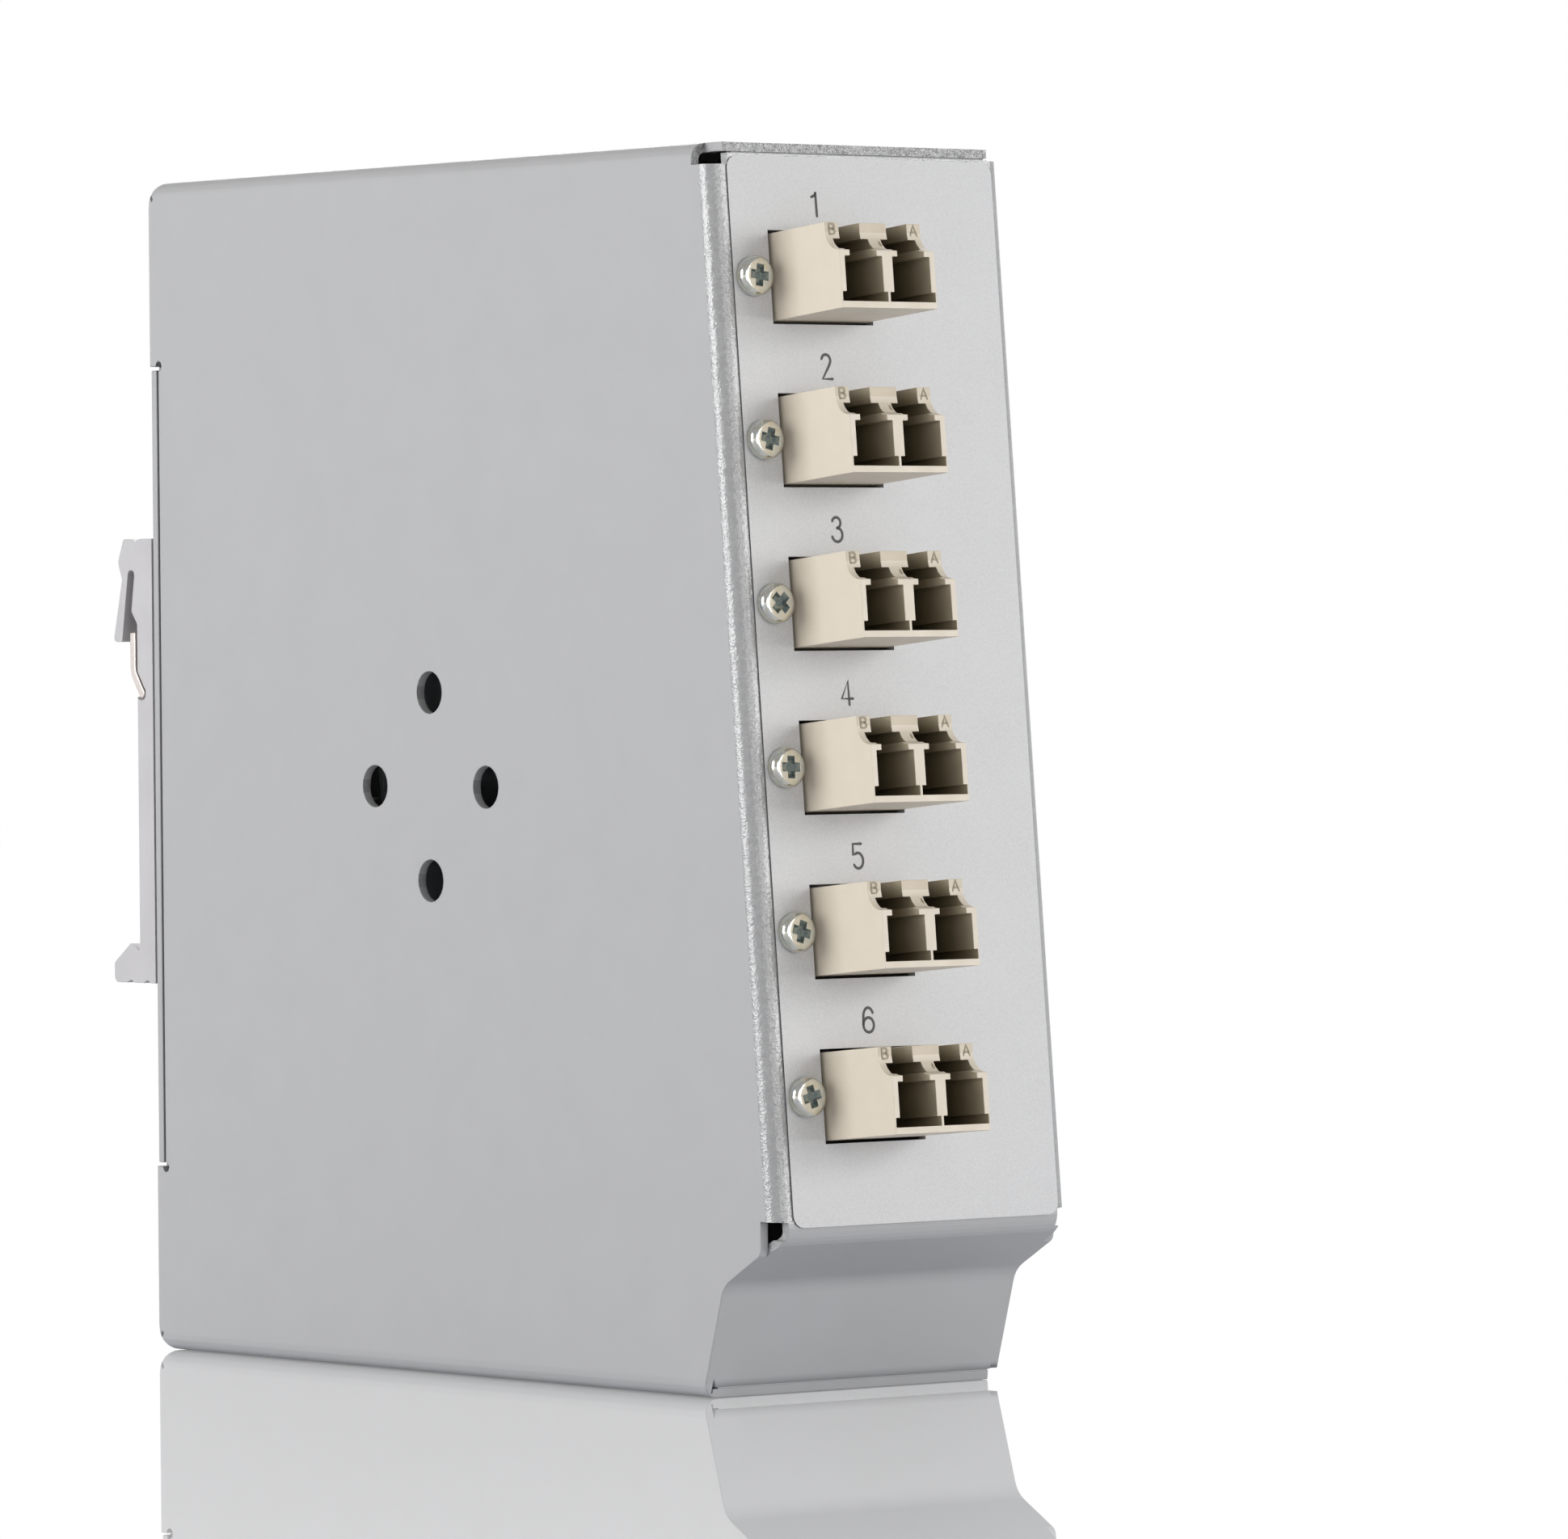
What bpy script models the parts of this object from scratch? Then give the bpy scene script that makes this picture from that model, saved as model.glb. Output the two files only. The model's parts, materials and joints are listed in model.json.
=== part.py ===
"""DIN rail fibre box: a slim folded-sheet splice box with six duplex couplers on a leaning front.

The frame stands on the box's flat bottom. Z is up, -Y is the coupler side and +Y the rail side.
"""

import math

import bmesh
import bpy
from mathutils import Matrix, Vector

MM = 0.001

# Box: overall sizes of the folded body
BOX_WIDTH = 39.0 * MM
BOX_HEIGHT = 130.0 * MM
BOX_DEPTH = 103.5 * MM
PANEL_LEAN = math.radians(5.1)
SHEET = 1.0 * MM
BEND_RADIUS = 1.8 * MM
BACK_CORNER_RADIUS = 2.8 * MM
BEND_STEPS = 5
CLEARANCE = 0.3 * MM

# Chin: the ledge under the front panel, measured from the panel's top edge and the floor
CHIN_EDGE_HEIGHT = 16.8 * MM
CHIN_KNEE_BACK = -1.0 * MM
CHIN_KNEE_HEIGHT = 11.8 * MM
CHIN_TOE_BACK = 2.65 * MM
CHIN_KNEE_RADIUS = 0.8 * MM
CHIN_RELIEF_DEPTH = 2.6 * MM
CHIN_RELIEF_RISE = 1.9 * MM
CHIN_RELIEF_WIDTH = 1.6 * MM
CHIN_RELIEF_HEIGHT = 1.9 * MM

# Open joints between the folded edges
JOINT_SLOT = 0.12 * MM
JOINT_BITE = 0.05 * MM
FLANGE_INSET = 1.95 * MM
BOTTOM_INSET = 1.05 * MM
EDGE_INSET = 1.2 * MM
NOTCH_WIDTH = 2.4 * MM
NOTCH_DEPTH = 2.85 * MM
NOTCH_HEIGHT = 2.3 * MM
CORNER_SLIT = 0.4 * MM

# Window in the back for the rear plate
BACK_FLANGE_HEIGHT = 20.4 * MM
WINDOW_SETBACK = 1.1 * MM
WINDOW_RELIEF_RADIUS = 0.6 * MM

# Holes of the left side, for turning the rail clip by a quarter
SIDE_HOLE_RADIUS = 2.3 * MM
SIDE_HOLE_CIRCLE = 10.1 * MM
SIDE_HOLES_BELOW_MIDDLE = 1.9 * MM
SIDE_HOLE_BACK = 49.8 * MM

# Cable entry hole in the bottom flange
ENTRY_HOLE_RADIUS = 10.2 * MM
ENTRY_BACK = 77.0 * MM

# Couplers: a row down the leaning front panel
COUPLER_COUNT = 6
COUPLER_FIRST = 14.0 * MM
COUPLER_LAST = 14.65 * MM
COUPLER_LEFT = 13.6 * MM
CUTOUT_WIDTH = 13.2 * MM
CUTOUT_HEIGHT = 9.8 * MM
COUPLER_WIDTH = 12.5 * MM
COUPLER_HEIGHT = 9.1 * MM
COUPLER_FRONT = 11.4 * MM
COUPLER_FLANGE_WIDTH = 22.2 * MM
COUPLER_FLANGE_THICKNESS = 2.2 * MM
BROW_SETBACK = 2.1 * MM
BROW_HEIGHT = 1.0 * MM
BROW_STEPS = 5

# Ports of a coupler, from the body's top edge down
PORT_PITCH = 6.25 * MM
PORT_WIDTH = 4.9 * MM
PORT_TOP = 3.7 * MM
PORT_FOOT_TOP = 7.4 * MM
PORT_FOOT_WIDTH = 5.94 * MM
PORT_BOTTOM = 8.4 * MM
PORT_DEPTH = 12.0 * MM
LATCH_SLOT_WIDTH = 2.72 * MM
LATCH_SLOT_BOTTOM = 1.7 * MM
LATCH_SLOT_DEPTH = 7.0 * MM
LATCH_ROOM_WIDTH = 4.6 * MM
LATCH_ROOM_BOTTOM = 2.85 * MM
LATCH_NECK_WIDTH = 3.54 * MM
FERRULE_TUBE_RADIUS = 1.5 * MM
FERRULE_TUBE_LENGTH = 3.0 * MM
FERRULE_BORE_RADIUS = 0.65 * MM

# M2 screws and nuts of the couplers
COUPLER_SCREW_SPACING = 18.0 * MM
COUPLER_SCREW_RADIUS = 1.0 * MM
COUPLER_SCREW_LENGTH = 7.0 * MM
COUPLER_HEAD_RADIUS = 2.0 * MM
COUPLER_HEAD_HEIGHT = 1.2 * MM
COUPLER_NUT_RADIUS = 2.3 * MM
COUPLER_NUT_HEIGHT = 1.6 * MM

# Front label
LABEL_LEFT = 2.2 * MM
LABEL_RIGHT = 1.6 * MM
LABEL_TOP = 1.4 * MM
LABEL_BOTTOM = 1.25 * MM
LABEL_THICKNESS = 0.3 * MM
LABEL_CORNER_RADIUS = 1.3 * MM

# Rear plate with its two ears and the leaf that carries the splice tray
PLATE_GAP = 0.4 * MM
PLATE_SIDE_INSET = 1.0 * MM
EAR_WIDTH = 30.0 * MM
EAR_OVERLAP = 9.0 * MM
EAR_STEP = 2.4 * MM
LEAF_DEPTH = 76.0 * MM
LEAF_MARGIN = 6.6 * MM
LEAF_CORNER_RADIUS = 4.0 * MM

# M3 screws and nuts of the rear plate, the clip, the tray and the cable bracket
M3_RADIUS = 1.5 * MM
M3_HEAD_RADIUS = 2.8 * MM
M3_HEAD_HEIGHT = 1.9 * MM
M3_NUT_RADIUS = 3.1 * MM
M3_NUT_HEIGHT = 2.3 * MM
EAR_SCREW_SPACING = 20.0 * MM
CLIP_SCREW_SPACING = 20.0 * MM
CLIP_SCREWS_BELOW_MIDDLE = 7.0 * MM

# Rail clip: one extruded profile, heights from its own lower edge
CLIP_HEIGHT = 49.7 * MM
CLIP_BELOW_MIDDLE = 24.25 * MM
CLIP_PLATE = 3.0 * MM
CLIP_REACH = 8.1 * MM
CLIP_SIDE_INSET = 1.0 * MM
HOOK_LIP = 38.2 * MM
HOOK_SLOT_TOP = 46.2 * MM
HOOK_SLOT_WIDTH = 1.3 * MM
WEDGE_TOP = 4.4 * MM
WEDGE_STEP = 1.9 * MM
CLIP_GROOVE = 1.5 * MM
CLIP_GROOVE_DEPTH = 0.35 * MM

# Rail spring: a bent strip that presses the rail against the hook
SPRING_PIVOT_HEIGHT = 32.45 * MM
SPRING_PIVOT_RADIUS = 0.55 * MM
SPRING_PIVOT_DEPTH = 0.75 * MM
SPRING_THICKNESS = 1.0 * MM
SPRING_RISE = 1.45 * MM
SPRING_KNEE = 2.4 * MM
SPRING_LENGTH = 6.8 * MM

# Splice tray on the leaf, with its lid, holder and splice sleeves
TRAY_LENGTH = 64.0 * MM
TRAY_ROOM = 20.0 * MM
TRAY_HEIGHT = 8.0 * MM
TRAY_WALL = 1.2 * MM
TRAY_STRAIGHT = 16.0 * MM
TRAY_ENTRY_WIDTH = 8.0 * MM
LID_THICKNESS = 1.0 * MM
HOLDER_LENGTH = 16.0 * MM
HOLDER_HEIGHT = 4.6 * MM
HOLDER_WALL = 0.8 * MM
SPLICE_SLOTS = 6
SPLICE_SLOT_WIDTH = 3.4 * MM
SPLICE_RADIUS = 1.3 * MM
SPLICE_LENGTH = 40.0 * MM
SPLICE_FLOOR = 0.8 * MM

# Cable bracket on the leaf, over the cable entry hole
BRACKET_WIDTH = 12.0 * MM
BRACKET_LEG = 12.0 * MM
BRACKET_REACH = 20.0 * MM
TIE_SLOT_LENGTH = 5.0 * MM
TIE_SLOT_WIDTH = 2.0 * MM

ROUND_STEPS = 12
SMALL_STEPS = 10
FAR = 200.0 * MM
MERGE = 0.001 * MM

# Places worked out from the sizes above
HALF_WIDTH = BOX_WIDTH / 2
LEFT_X = -HALF_WIDTH
FRONT_Y = -BOX_DEPTH / 2
BACK_Y = BOX_DEPTH / 2
WINDOW_BOTTOM = BACK_FLANGE_HEIGHT
WINDOW_TOP = BOX_HEIGHT - BACK_FLANGE_HEIGHT
SIDE_HOLES_Z = BOX_HEIGHT / 2 - SIDE_HOLES_BELOW_MIDDLE
PANEL_LENGTH = (BOX_HEIGHT - CHIN_EDGE_HEIGHT) / math.cos(PANEL_LEAN)
LABEL_LENGTH = PANEL_LENGTH - LABEL_TOP - LABEL_BOTTOM
COUPLER_PITCH = (PANEL_LENGTH - COUPLER_FIRST - COUPLER_LAST) / (COUPLER_COUNT - 1)
COUPLER_X = LEFT_X + COUPLER_LEFT
COUPLER_FLANGE_FRONT = SHEET + CLEARANCE
COUPLER_MIDDLE = COUPLER_FLANGE_FRONT + COUPLER_FLANGE_THICKNESS / 2
COUPLER_HALF_LENGTH = COUPLER_FRONT + COUPLER_MIDDLE
ENTRY_Y = FRONT_Y + ENTRY_BACK
LEAF_X = HALF_WIDTH - SHEET - CLEARANCE - SHEET
LEAF_HEIGHT = WINDOW_TOP - WINDOW_BOTTOM - 2 * LEAF_MARGIN
SEAT_Y = BACK_Y + CLEARANCE + CLIP_PLATE
CLIP_LOWER_EDGE = BOX_HEIGHT / 2 - CLIP_BELOW_MIDDLE
CLIP_SCREWS_Z = BOX_HEIGHT / 2 - CLIP_SCREWS_BELOW_MIDDLE
TRAY_X = LEAF_X - CLEARANCE
TRAY_WIDTH = LEAF_HEIGHT - TRAY_ROOM
TRAY_CORNER_RADIUS = (min(TRAY_LENGTH, TRAY_WIDTH) - TRAY_STRAIGHT) / 2


def clear_scene():
    for obj in list(bpy.data.objects):
        bpy.data.objects.remove(obj)


def new_collection(name):
    collection = bpy.data.collections.new(name)
    bpy.context.scene.collection.children.link(collection)
    return collection


def make_material(name, colour, roughness, metallic=0.0):
    material = bpy.data.materials.new(name)
    material.use_nodes = True
    shader = material.node_tree.nodes["Principled BSDF"]
    shader.inputs["Base Color"].default_value = (*colour, 1.0)
    shader.inputs["Roughness"].default_value = roughness
    shader.inputs["Metallic"].default_value = metallic
    return material


def new_object(name, bm, material=None):
    """Turn a bmesh into an object; without a material it is a cutter.

    Corners snap to a tenth of a micron, so faces that are meant to be flush are exactly flush.
    """
    for vert in bm.verts:
        vert.co = [round(value, 7) for value in vert.co]
    bmesh.ops.recalc_face_normals(bm, faces=bm.faces)
    mesh = bpy.data.meshes.new(name)
    bm.to_mesh(mesh)
    bm.free()
    obj = bpy.data.objects.new(name, mesh)
    if material is None:
        CUTTERS.objects.link(obj)
        obj.hide_render = True
        obj.display_type = "WIRE"
    else:
        PARTS.objects.link(obj)
        mesh.materials.append(material)
    return obj


def boolean(obj, tool, operation):
    modifier = obj.modifiers.new(tool.name, "BOOLEAN")
    modifier.object = tool
    modifier.operation = operation
    modifier.solver = "EXACT"


def cut(obj, *tools):
    for tool in tools:
        boolean(obj, tool, "DIFFERENCE")


def join(obj, *tools):
    for tool in tools:
        boolean(obj, tool, "UNION")


def arc(centre, radius, start, end, steps):
    """Points on an arc in a plane, angles in radians."""
    points = []
    for i in range(steps + 1):
        angle = start + (end - start) * i / steps
        points.append((centre[0] + radius * math.cos(angle), centre[1] + radius * math.sin(angle)))
    return points


def round_corner(before, corner, after, radius, steps):
    """Points of the arc that rounds one corner of an outline."""
    here = Vector(corner)
    back = (Vector(before) - here).normalized()
    ahead = (Vector(after) - here).normalized()
    half = back.angle(ahead) / 2
    if radius < MERGE or half > math.radians(89.0):
        return [tuple(here)] * (steps + 1)
    centre = here + (back + ahead).normalized() * (radius / math.sin(half))
    start = here + back * (radius / math.tan(half)) - centre
    end = here + ahead * (radius / math.tan(half)) - centre
    turn = start.angle_signed(end)
    points = []
    for i in range(steps + 1):
        angle = -turn * i / steps
        x = start.x * math.cos(angle) - start.y * math.sin(angle)
        y = start.x * math.sin(angle) + start.y * math.cos(angle)
        points.append((centre.x + x, centre.y + y))
    return points


def rounded(corners, steps=BEND_STEPS, closed=True):
    """An outline through (a, b, radius) corners, with its corners rounded."""
    points = []
    count = len(corners)
    for i, (a, b, radius) in enumerate(corners):
        if not closed and i in (0, count - 1):
            points.append((a, b))
            continue
        if radius <= 0.0:
            points.append((a, b))
            continue
        before = corners[i - 1][:2]
        after = corners[(i + 1) % count][:2]
        points.extend(round_corner(before, (a, b), after, radius, steps))
    return points


def parallel(points, distance):
    """A line of points moved sideways, to the left of its direction, with mitred corners."""
    moved = []
    last = len(points) - 1
    for i, point in enumerate(points):
        here = Vector(point)
        ahead = Vector(points[min(i + 1, last)]) - Vector(points[min(i, last - 1)])
        behind = Vector(points[max(i, 1)]) - Vector(points[max(i - 1, 0)])
        ahead.normalize()
        behind.normalize()
        side = Vector((-ahead.y - behind.y, ahead.x + behind.x)).normalized()
        stretch = side.dot(Vector((-ahead.y, ahead.x)))
        moved.append(tuple(here + side * (distance / stretch)))
    return moved


def strip(points, thickness):
    """The outline of a bent strip with its middle along the points."""
    return parallel(points, thickness / 2) + list(reversed(parallel(points, -thickness / 2)))


def prism(name, axis, outline, low, high, material=None):
    """An outline pushed along an axis; it holds the other two coordinates, in X, Y, Z order."""
    bm = bmesh.new()
    places = {"X": lambda a, b: (low, a, b), "Y": lambda a, b: (a, low, b), "Z": lambda a, b: (a, b, low)}
    face = bm.faces.new([bm.verts.new(places[axis](a, b)) for a, b in outline])
    pushed = bmesh.ops.extrude_face_region(bm, geom=[face])["geom"]
    direction = Vector([high - low if letter == axis else 0.0 for letter in "XYZ"])
    bmesh.ops.translate(bm, verts=[v for v in pushed if isinstance(v, bmesh.types.BMVert)], vec=direction)
    return new_object(name, bm, material)


def box(name, x, y, z, material=None):
    """A block between two values on each axis."""
    bm = bmesh.new()
    bmesh.ops.create_cube(bm, size=1.0)
    size = Vector((x[1] - x[0], y[1] - y[0], z[1] - z[0]))
    middle = Vector((x[0] + x[1], y[0] + y[1], z[0] + z[1])) / 2
    bmesh.ops.transform(bm, matrix=Matrix.Translation(middle) @ Matrix.Diagonal((*size, 1.0)), verts=bm.verts)
    return new_object(name, bm, material)


AXIS_TURN = {
    "X": Matrix.Rotation(math.pi / 2, 4, "Y"),
    "Y": Matrix.Rotation(-math.pi / 2, 4, "X"),
    "Z": Matrix.Identity(4),
}


def cylinders(name, axis, centres, radius, low, high, steps=ROUND_STEPS, material=None):
    """Equal cylinders along one axis; a centre holds the other two coordinates."""
    bm = bmesh.new()
    for a, b in centres:
        middle = {"X": ((low + high) / 2, a, b), "Y": (a, (low + high) / 2, b), "Z": (a, b, (low + high) / 2)}[axis]
        place = Matrix.Translation(middle) @ AXIS_TURN[axis]
        bmesh.ops.create_cone(bm, cap_ends=True, segments=steps, radius1=radius, radius2=radius,
                              depth=high - low, matrix=place)
    return new_object(name, bm, material)


def turned(name, profile, place, steps, material):
    """A profile of (radius, height), listed from top to bottom, turned about Z by a Screw modifier."""
    mesh = bpy.data.meshes.new(name)
    mesh.from_pydata([(radius, 0.0, height) for radius, height in profile],
                     [(i, i + 1) for i in range(len(profile) - 1)], [])
    mesh.materials.append(material)
    obj = bpy.data.objects.new(name, mesh)
    PARTS.objects.link(obj)
    screw = obj.modifiers.new("turn", "SCREW")
    screw.steps = steps
    screw.render_steps = steps
    screw.use_merge_vertices = True
    screw.merge_threshold = MERGE
    obj.matrix_world = place
    return obj


def panel_frame():
    """The front panel's own frame: origin at its top edge, Y into the box, Z up the panel."""
    return Matrix.Translation((0.0, FRONT_Y, BOX_HEIGHT)) @ Matrix.Rotation(-PANEL_LEAN, 4, "X")


def coupler_frame(index):
    """A coupler's frame: origin at its cutout's middle on the panel's outer face."""
    down = COUPLER_FIRST + index * COUPLER_PITCH
    return panel_frame() @ Matrix.Translation((COUPLER_X, 0.0, -down))


# Folded body

def front_chain(inset):
    """Side view of the front: panel, chin ledge and chin, as (y, z) from the top down."""
    down = Vector((-math.sin(PANEL_LEAN), -math.cos(PANEL_LEAN)))
    top = Vector((FRONT_Y, BOX_HEIGHT))
    edge = top + down * PANEL_LENGTH
    knee = Vector((FRONT_Y + CHIN_KNEE_BACK, CHIN_KNEE_HEIGHT))
    toe = Vector((FRONT_Y + CHIN_TOE_BACK, 0.0))
    outer = [tuple(p) for p in (top, edge, knee, toe)]
    moved = parallel(outer, inset)
    radii = (0.0, BEND_RADIUS - inset, CHIN_KNEE_RADIUS + inset, 0.0)
    return rounded([(y, z, r) for (y, z), r in zip(moved, radii)], steps=4, closed=False)


def along(chain, z):
    """The y of a chain of (y, z) points at a height; past its ends it follows its end lines."""
    for (y1, z1), (y2, z2) in zip(chain, chain[1:]):
        if z >= z2 or (y2, z2) == chain[-1]:
            if z <= z1 or (y1, z1) == chain[0]:
                return y1 + (y2 - y1) * (z - z1) / (z2 - z1)
    return chain[-1][0]


def arc_drop(distance, radius):
    """How far a rounded edge falls back at a distance from the flat face that it meets."""
    if distance >= radius:
        return 0.0
    return radius - math.sqrt(max(radius ** 2 - (radius - distance) ** 2, 0.0))


def hull(name, inset, material=None):
    """The closed outer form of the body, moved inwards by the inset, as a stack of level sections."""
    chain = front_chain(inset)
    low, high = inset, BOX_HEIGHT - inset
    bend = BEND_RADIUS - inset
    corner = BACK_CORNER_RADIUS - inset
    bend_end = CHIN_EDGE_HEIGHT + CHIN_RELIEF_RISE / 2
    steps = [bend * (1 - math.cos(math.pi / 2 * i / BEND_STEPS)) for i in range(BEND_STEPS + 1)]
    steps += [corner * (1 - math.cos(math.pi / 2 * i / BEND_STEPS)) for i in range(1, BEND_STEPS + 1)]
    levels = {round(low + s, 7) for s in steps} | {round(high - s, 7) for s in steps}
    levels |= {round(z, 7) for y, z in chain if low < z < high}
    levels |= {round(bend_end, 7), round(bend_end - 0.05 * MM, 7)}
    bm = bmesh.new()
    rings = []
    for z in sorted(levels):
        from_end = min(z - low, high - z)
        drop = arc_drop(from_end, bend)
        left = LEFT_X + inset + drop
        right = HALF_WIDTH - inset
        back = BACK_Y - inset - arc_drop(from_end, corner)
        front = along(chain, z)
        front_bend = bend if z >= bend_end else 0.0
        ring = []
        for x, y, radius, ahead, behind in (
                (left, front, min(front_bend, bend - drop), (right, front), (left, back)),
                (right, front, front_bend, (right, back), (left, front)),
                (right, back, 0.0, (left, back), (right, front)),
                (left, back, bend - drop, (left, front), (right, back))):
            ring += round_corner(behind, (x, y), ahead, radius, BEND_STEPS)
        rings.append([bm.verts.new((x, y, z)) for x, y in ring])
    count = len(rings[0])
    for lower, upper in zip(rings, rings[1:]):
        for i in range(count):
            j = (i + 1) % count
            bm.faces.new((lower[i], lower[j], upper[j], upper[i]))
    bm.faces.new(list(reversed(rings[0])))
    bm.faces.new(rings[-1])
    bmesh.ops.remove_doubles(bm, verts=bm.verts, dist=MERGE)
    bmesh.ops.dissolve_limit(bm, angle_limit=math.radians(0.05), verts=bm.verts, edges=bm.edges)
    return new_object(name, bm, material)


def build_body(material):
    """Left side, leaning front, chin, right side and the flanges, folded from one sheet."""
    body = hull("body_shell", 0.0, material)
    cut(body, hull("body_inside", SHEET))
    inner_x = HALF_WIDTH - SHEET
    out_x = HALF_WIDTH + SHEET
    front = (FRONT_Y - FAR, FRONT_Y + NOTCH_DEPTH)
    relief_top = CHIN_EDGE_HEIGHT + CHIN_RELIEF_RISE
    relief_back = along(front_chain(0.0), relief_top) + CHIN_RELIEF_DEPTH
    cut(
        body,
        box("front_left_notch", (-out_x, LEFT_X + BEND_RADIUS + JOINT_BITE), front,
            (BOX_HEIGHT - NOTCH_HEIGHT, BOX_HEIGHT + SHEET)),
        box("front_corner_notch", (-out_x, LEFT_X + NOTCH_WIDTH), (FRONT_Y - FAR, FRONT_Y + 2 * SHEET),
            (BOX_HEIGHT - NOTCH_HEIGHT + JOINT_BITE, BOX_HEIGHT - SHEET - JOINT_SLOT / 2)),
        box("front_top_joint", (-inner_x, out_x), (FRONT_Y - FAR, FRONT_Y + 2 * SHEET),
            (BOX_HEIGHT - SHEET - JOINT_SLOT, BOX_HEIGHT - SHEET + JOINT_BITE)),
        box("top_right_joint", (HALF_WIDTH - FLANGE_INSET, out_x), (-FAR, FAR),
            (BOX_HEIGHT - EDGE_INSET, BOX_HEIGHT + SHEET)),
        box("bottom_right_joint", (HALF_WIDTH - BOTTOM_INSET, out_x), (-FAR, FAR), (-SHEET, EDGE_INSET)),
        box("back_right_joint", (HALF_WIDTH - FLANGE_INSET, out_x), (BACK_Y - EDGE_INSET, BACK_Y + SHEET),
            (-SHEET, BOX_HEIGHT + SHEET)),
        box("chin_foot_joint", (-inner_x, inner_x), (FRONT_Y - FAR, FRONT_Y + CHIN_TOE_BACK + 4 * SHEET),
            (SHEET - JOINT_BITE, SHEET + JOINT_SLOT)),
        box("back_window", (-out_x, out_x), (BACK_Y - BEND_RADIUS - WINDOW_SETBACK, BACK_Y + SHEET),
            (WINDOW_BOTTOM, WINDOW_TOP)),
    )
    for side in (-1, 1):
        chin_slit = sorted((side * (inner_x + JOINT_BITE), side * (inner_x - JOINT_SLOT)))
        chin_relief = sorted((side * (inner_x - JOINT_SLOT / 2), side * out_x))
        name = "left" if side < 0 else "right"
        corner = sorted((side * (HALF_WIDTH - CHIN_RELIEF_WIDTH), side * out_x))
        cut(
            body,
            box(f"chin_{name}_relief", chin_relief, (FRONT_Y - FAR, relief_back), (-SHEET, relief_top)),
            box(f"chin_{name}_corner", corner, (FRONT_Y - FAR, relief_back - JOINT_BITE),
                (relief_top - CHIN_RELIEF_HEIGHT, relief_top - JOINT_BITE)),
            box(f"chin_{name}_joint", chin_slit, (FRONT_Y - FAR, FRONT_Y + CHIN_TOE_BACK + 2 * SHEET),
                (SHEET / 2, relief_top + JOINT_SLOT)),
        )
    for z, lean in ((0.0, 1), (BOX_HEIGHT, -1)):
        slit = box(f"corner_slit_{'bottom' if lean > 0 else 'top'}", (-out_x, out_x),
                   (-CORNER_SLIT / 2, CORNER_SLIT / 2), (-BACK_CORNER_RADIUS, BACK_CORNER_RADIUS))
        turn = Matrix.Rotation(lean * math.pi / 4, 4, "X")
        slit.matrix_world = Matrix.Translation((0.0, BACK_Y, z)) @ turn
        cut(body, slit)
    cut(body, cylinders("window_reliefs", "X", [
        (BACK_Y - BEND_RADIUS - WINDOW_SETBACK, z) for z in (WINDOW_BOTTOM, WINDOW_TOP)],
        WINDOW_RELIEF_RADIUS, -out_x, out_x, 8))
    side_centres = []
    for quarter in range(4):
        angle = quarter * math.pi / 2
        side_centres.append((FRONT_Y + SIDE_HOLE_BACK + SIDE_HOLE_CIRCLE * math.cos(angle),
                             SIDE_HOLES_Z + SIDE_HOLE_CIRCLE * math.sin(angle)))
    cut(body, cylinders("side_holes", "X", side_centres, SIDE_HOLE_RADIUS, -out_x, -inner_x + SHEET, 20))
    cut(body, cylinders("entry_hole", "Z", [(0.0, ENTRY_Y)], ENTRY_HOLE_RADIUS, -SHEET, 2 * SHEET, 40))
    cut(body, cylinders("ear_screw_holes", "Y", ear_screw_centres(), M3_RADIUS + CLEARANCE,
                        BACK_Y - 2 * SHEET, BACK_Y + SHEET))
    cut(body, panel_cutter("panel_cutouts", -2 * SHEET, 2 * SHEET))
    return body


def panel_cutter(name, near, far):
    """The six coupler cutouts and their screw holes as one cutter through the front panel."""
    bm = bmesh.new()
    for index in range(COUPLER_COUNT):
        middle = Matrix.Translation((COUPLER_X, (near + far) / 2, -COUPLER_FIRST - index * COUPLER_PITCH))
        scale = Matrix.Diagonal((CUTOUT_WIDTH, far - near, CUTOUT_HEIGHT, 1.0))
        cube = bmesh.ops.create_cube(bm, size=1.0)["verts"]
        bmesh.ops.transform(bm, matrix=middle @ scale, verts=cube)
        for side in (-1, 1):
            place = Matrix.Translation((side * COUPLER_SCREW_SPACING / 2, 0.0, 0.0)) @ AXIS_TURN["Y"]
            bmesh.ops.create_cone(bm, cap_ends=True, segments=8, radius1=COUPLER_SCREW_RADIUS + CLEARANCE,
                                  radius2=COUPLER_SCREW_RADIUS + CLEARANCE, depth=far - near,
                                  matrix=middle @ place)
    cutter = new_object(name, bm)
    cutter.matrix_world = panel_frame()
    return cutter


def build_label(material):
    """The foil label that covers the flat of the front panel."""
    left = LEFT_X + LABEL_LEFT
    right = HALF_WIDTH - LABEL_RIGHT
    r = LABEL_CORNER_RADIUS
    corners = [(left, -LABEL_TOP, r), (right, -LABEL_TOP, r),
               (right, -LABEL_TOP - LABEL_LENGTH, r), (left, -LABEL_TOP - LABEL_LENGTH, r)]
    label = prism("front_label", "Y", rounded(corners, 4), -CLEARANCE - LABEL_THICKNESS, -CLEARANCE, material)
    label.matrix_world = panel_frame()
    cut(label, panel_cutter("label_cutouts", -4 * SHEET, 2 * SHEET))
    return label


# Couplers

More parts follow.
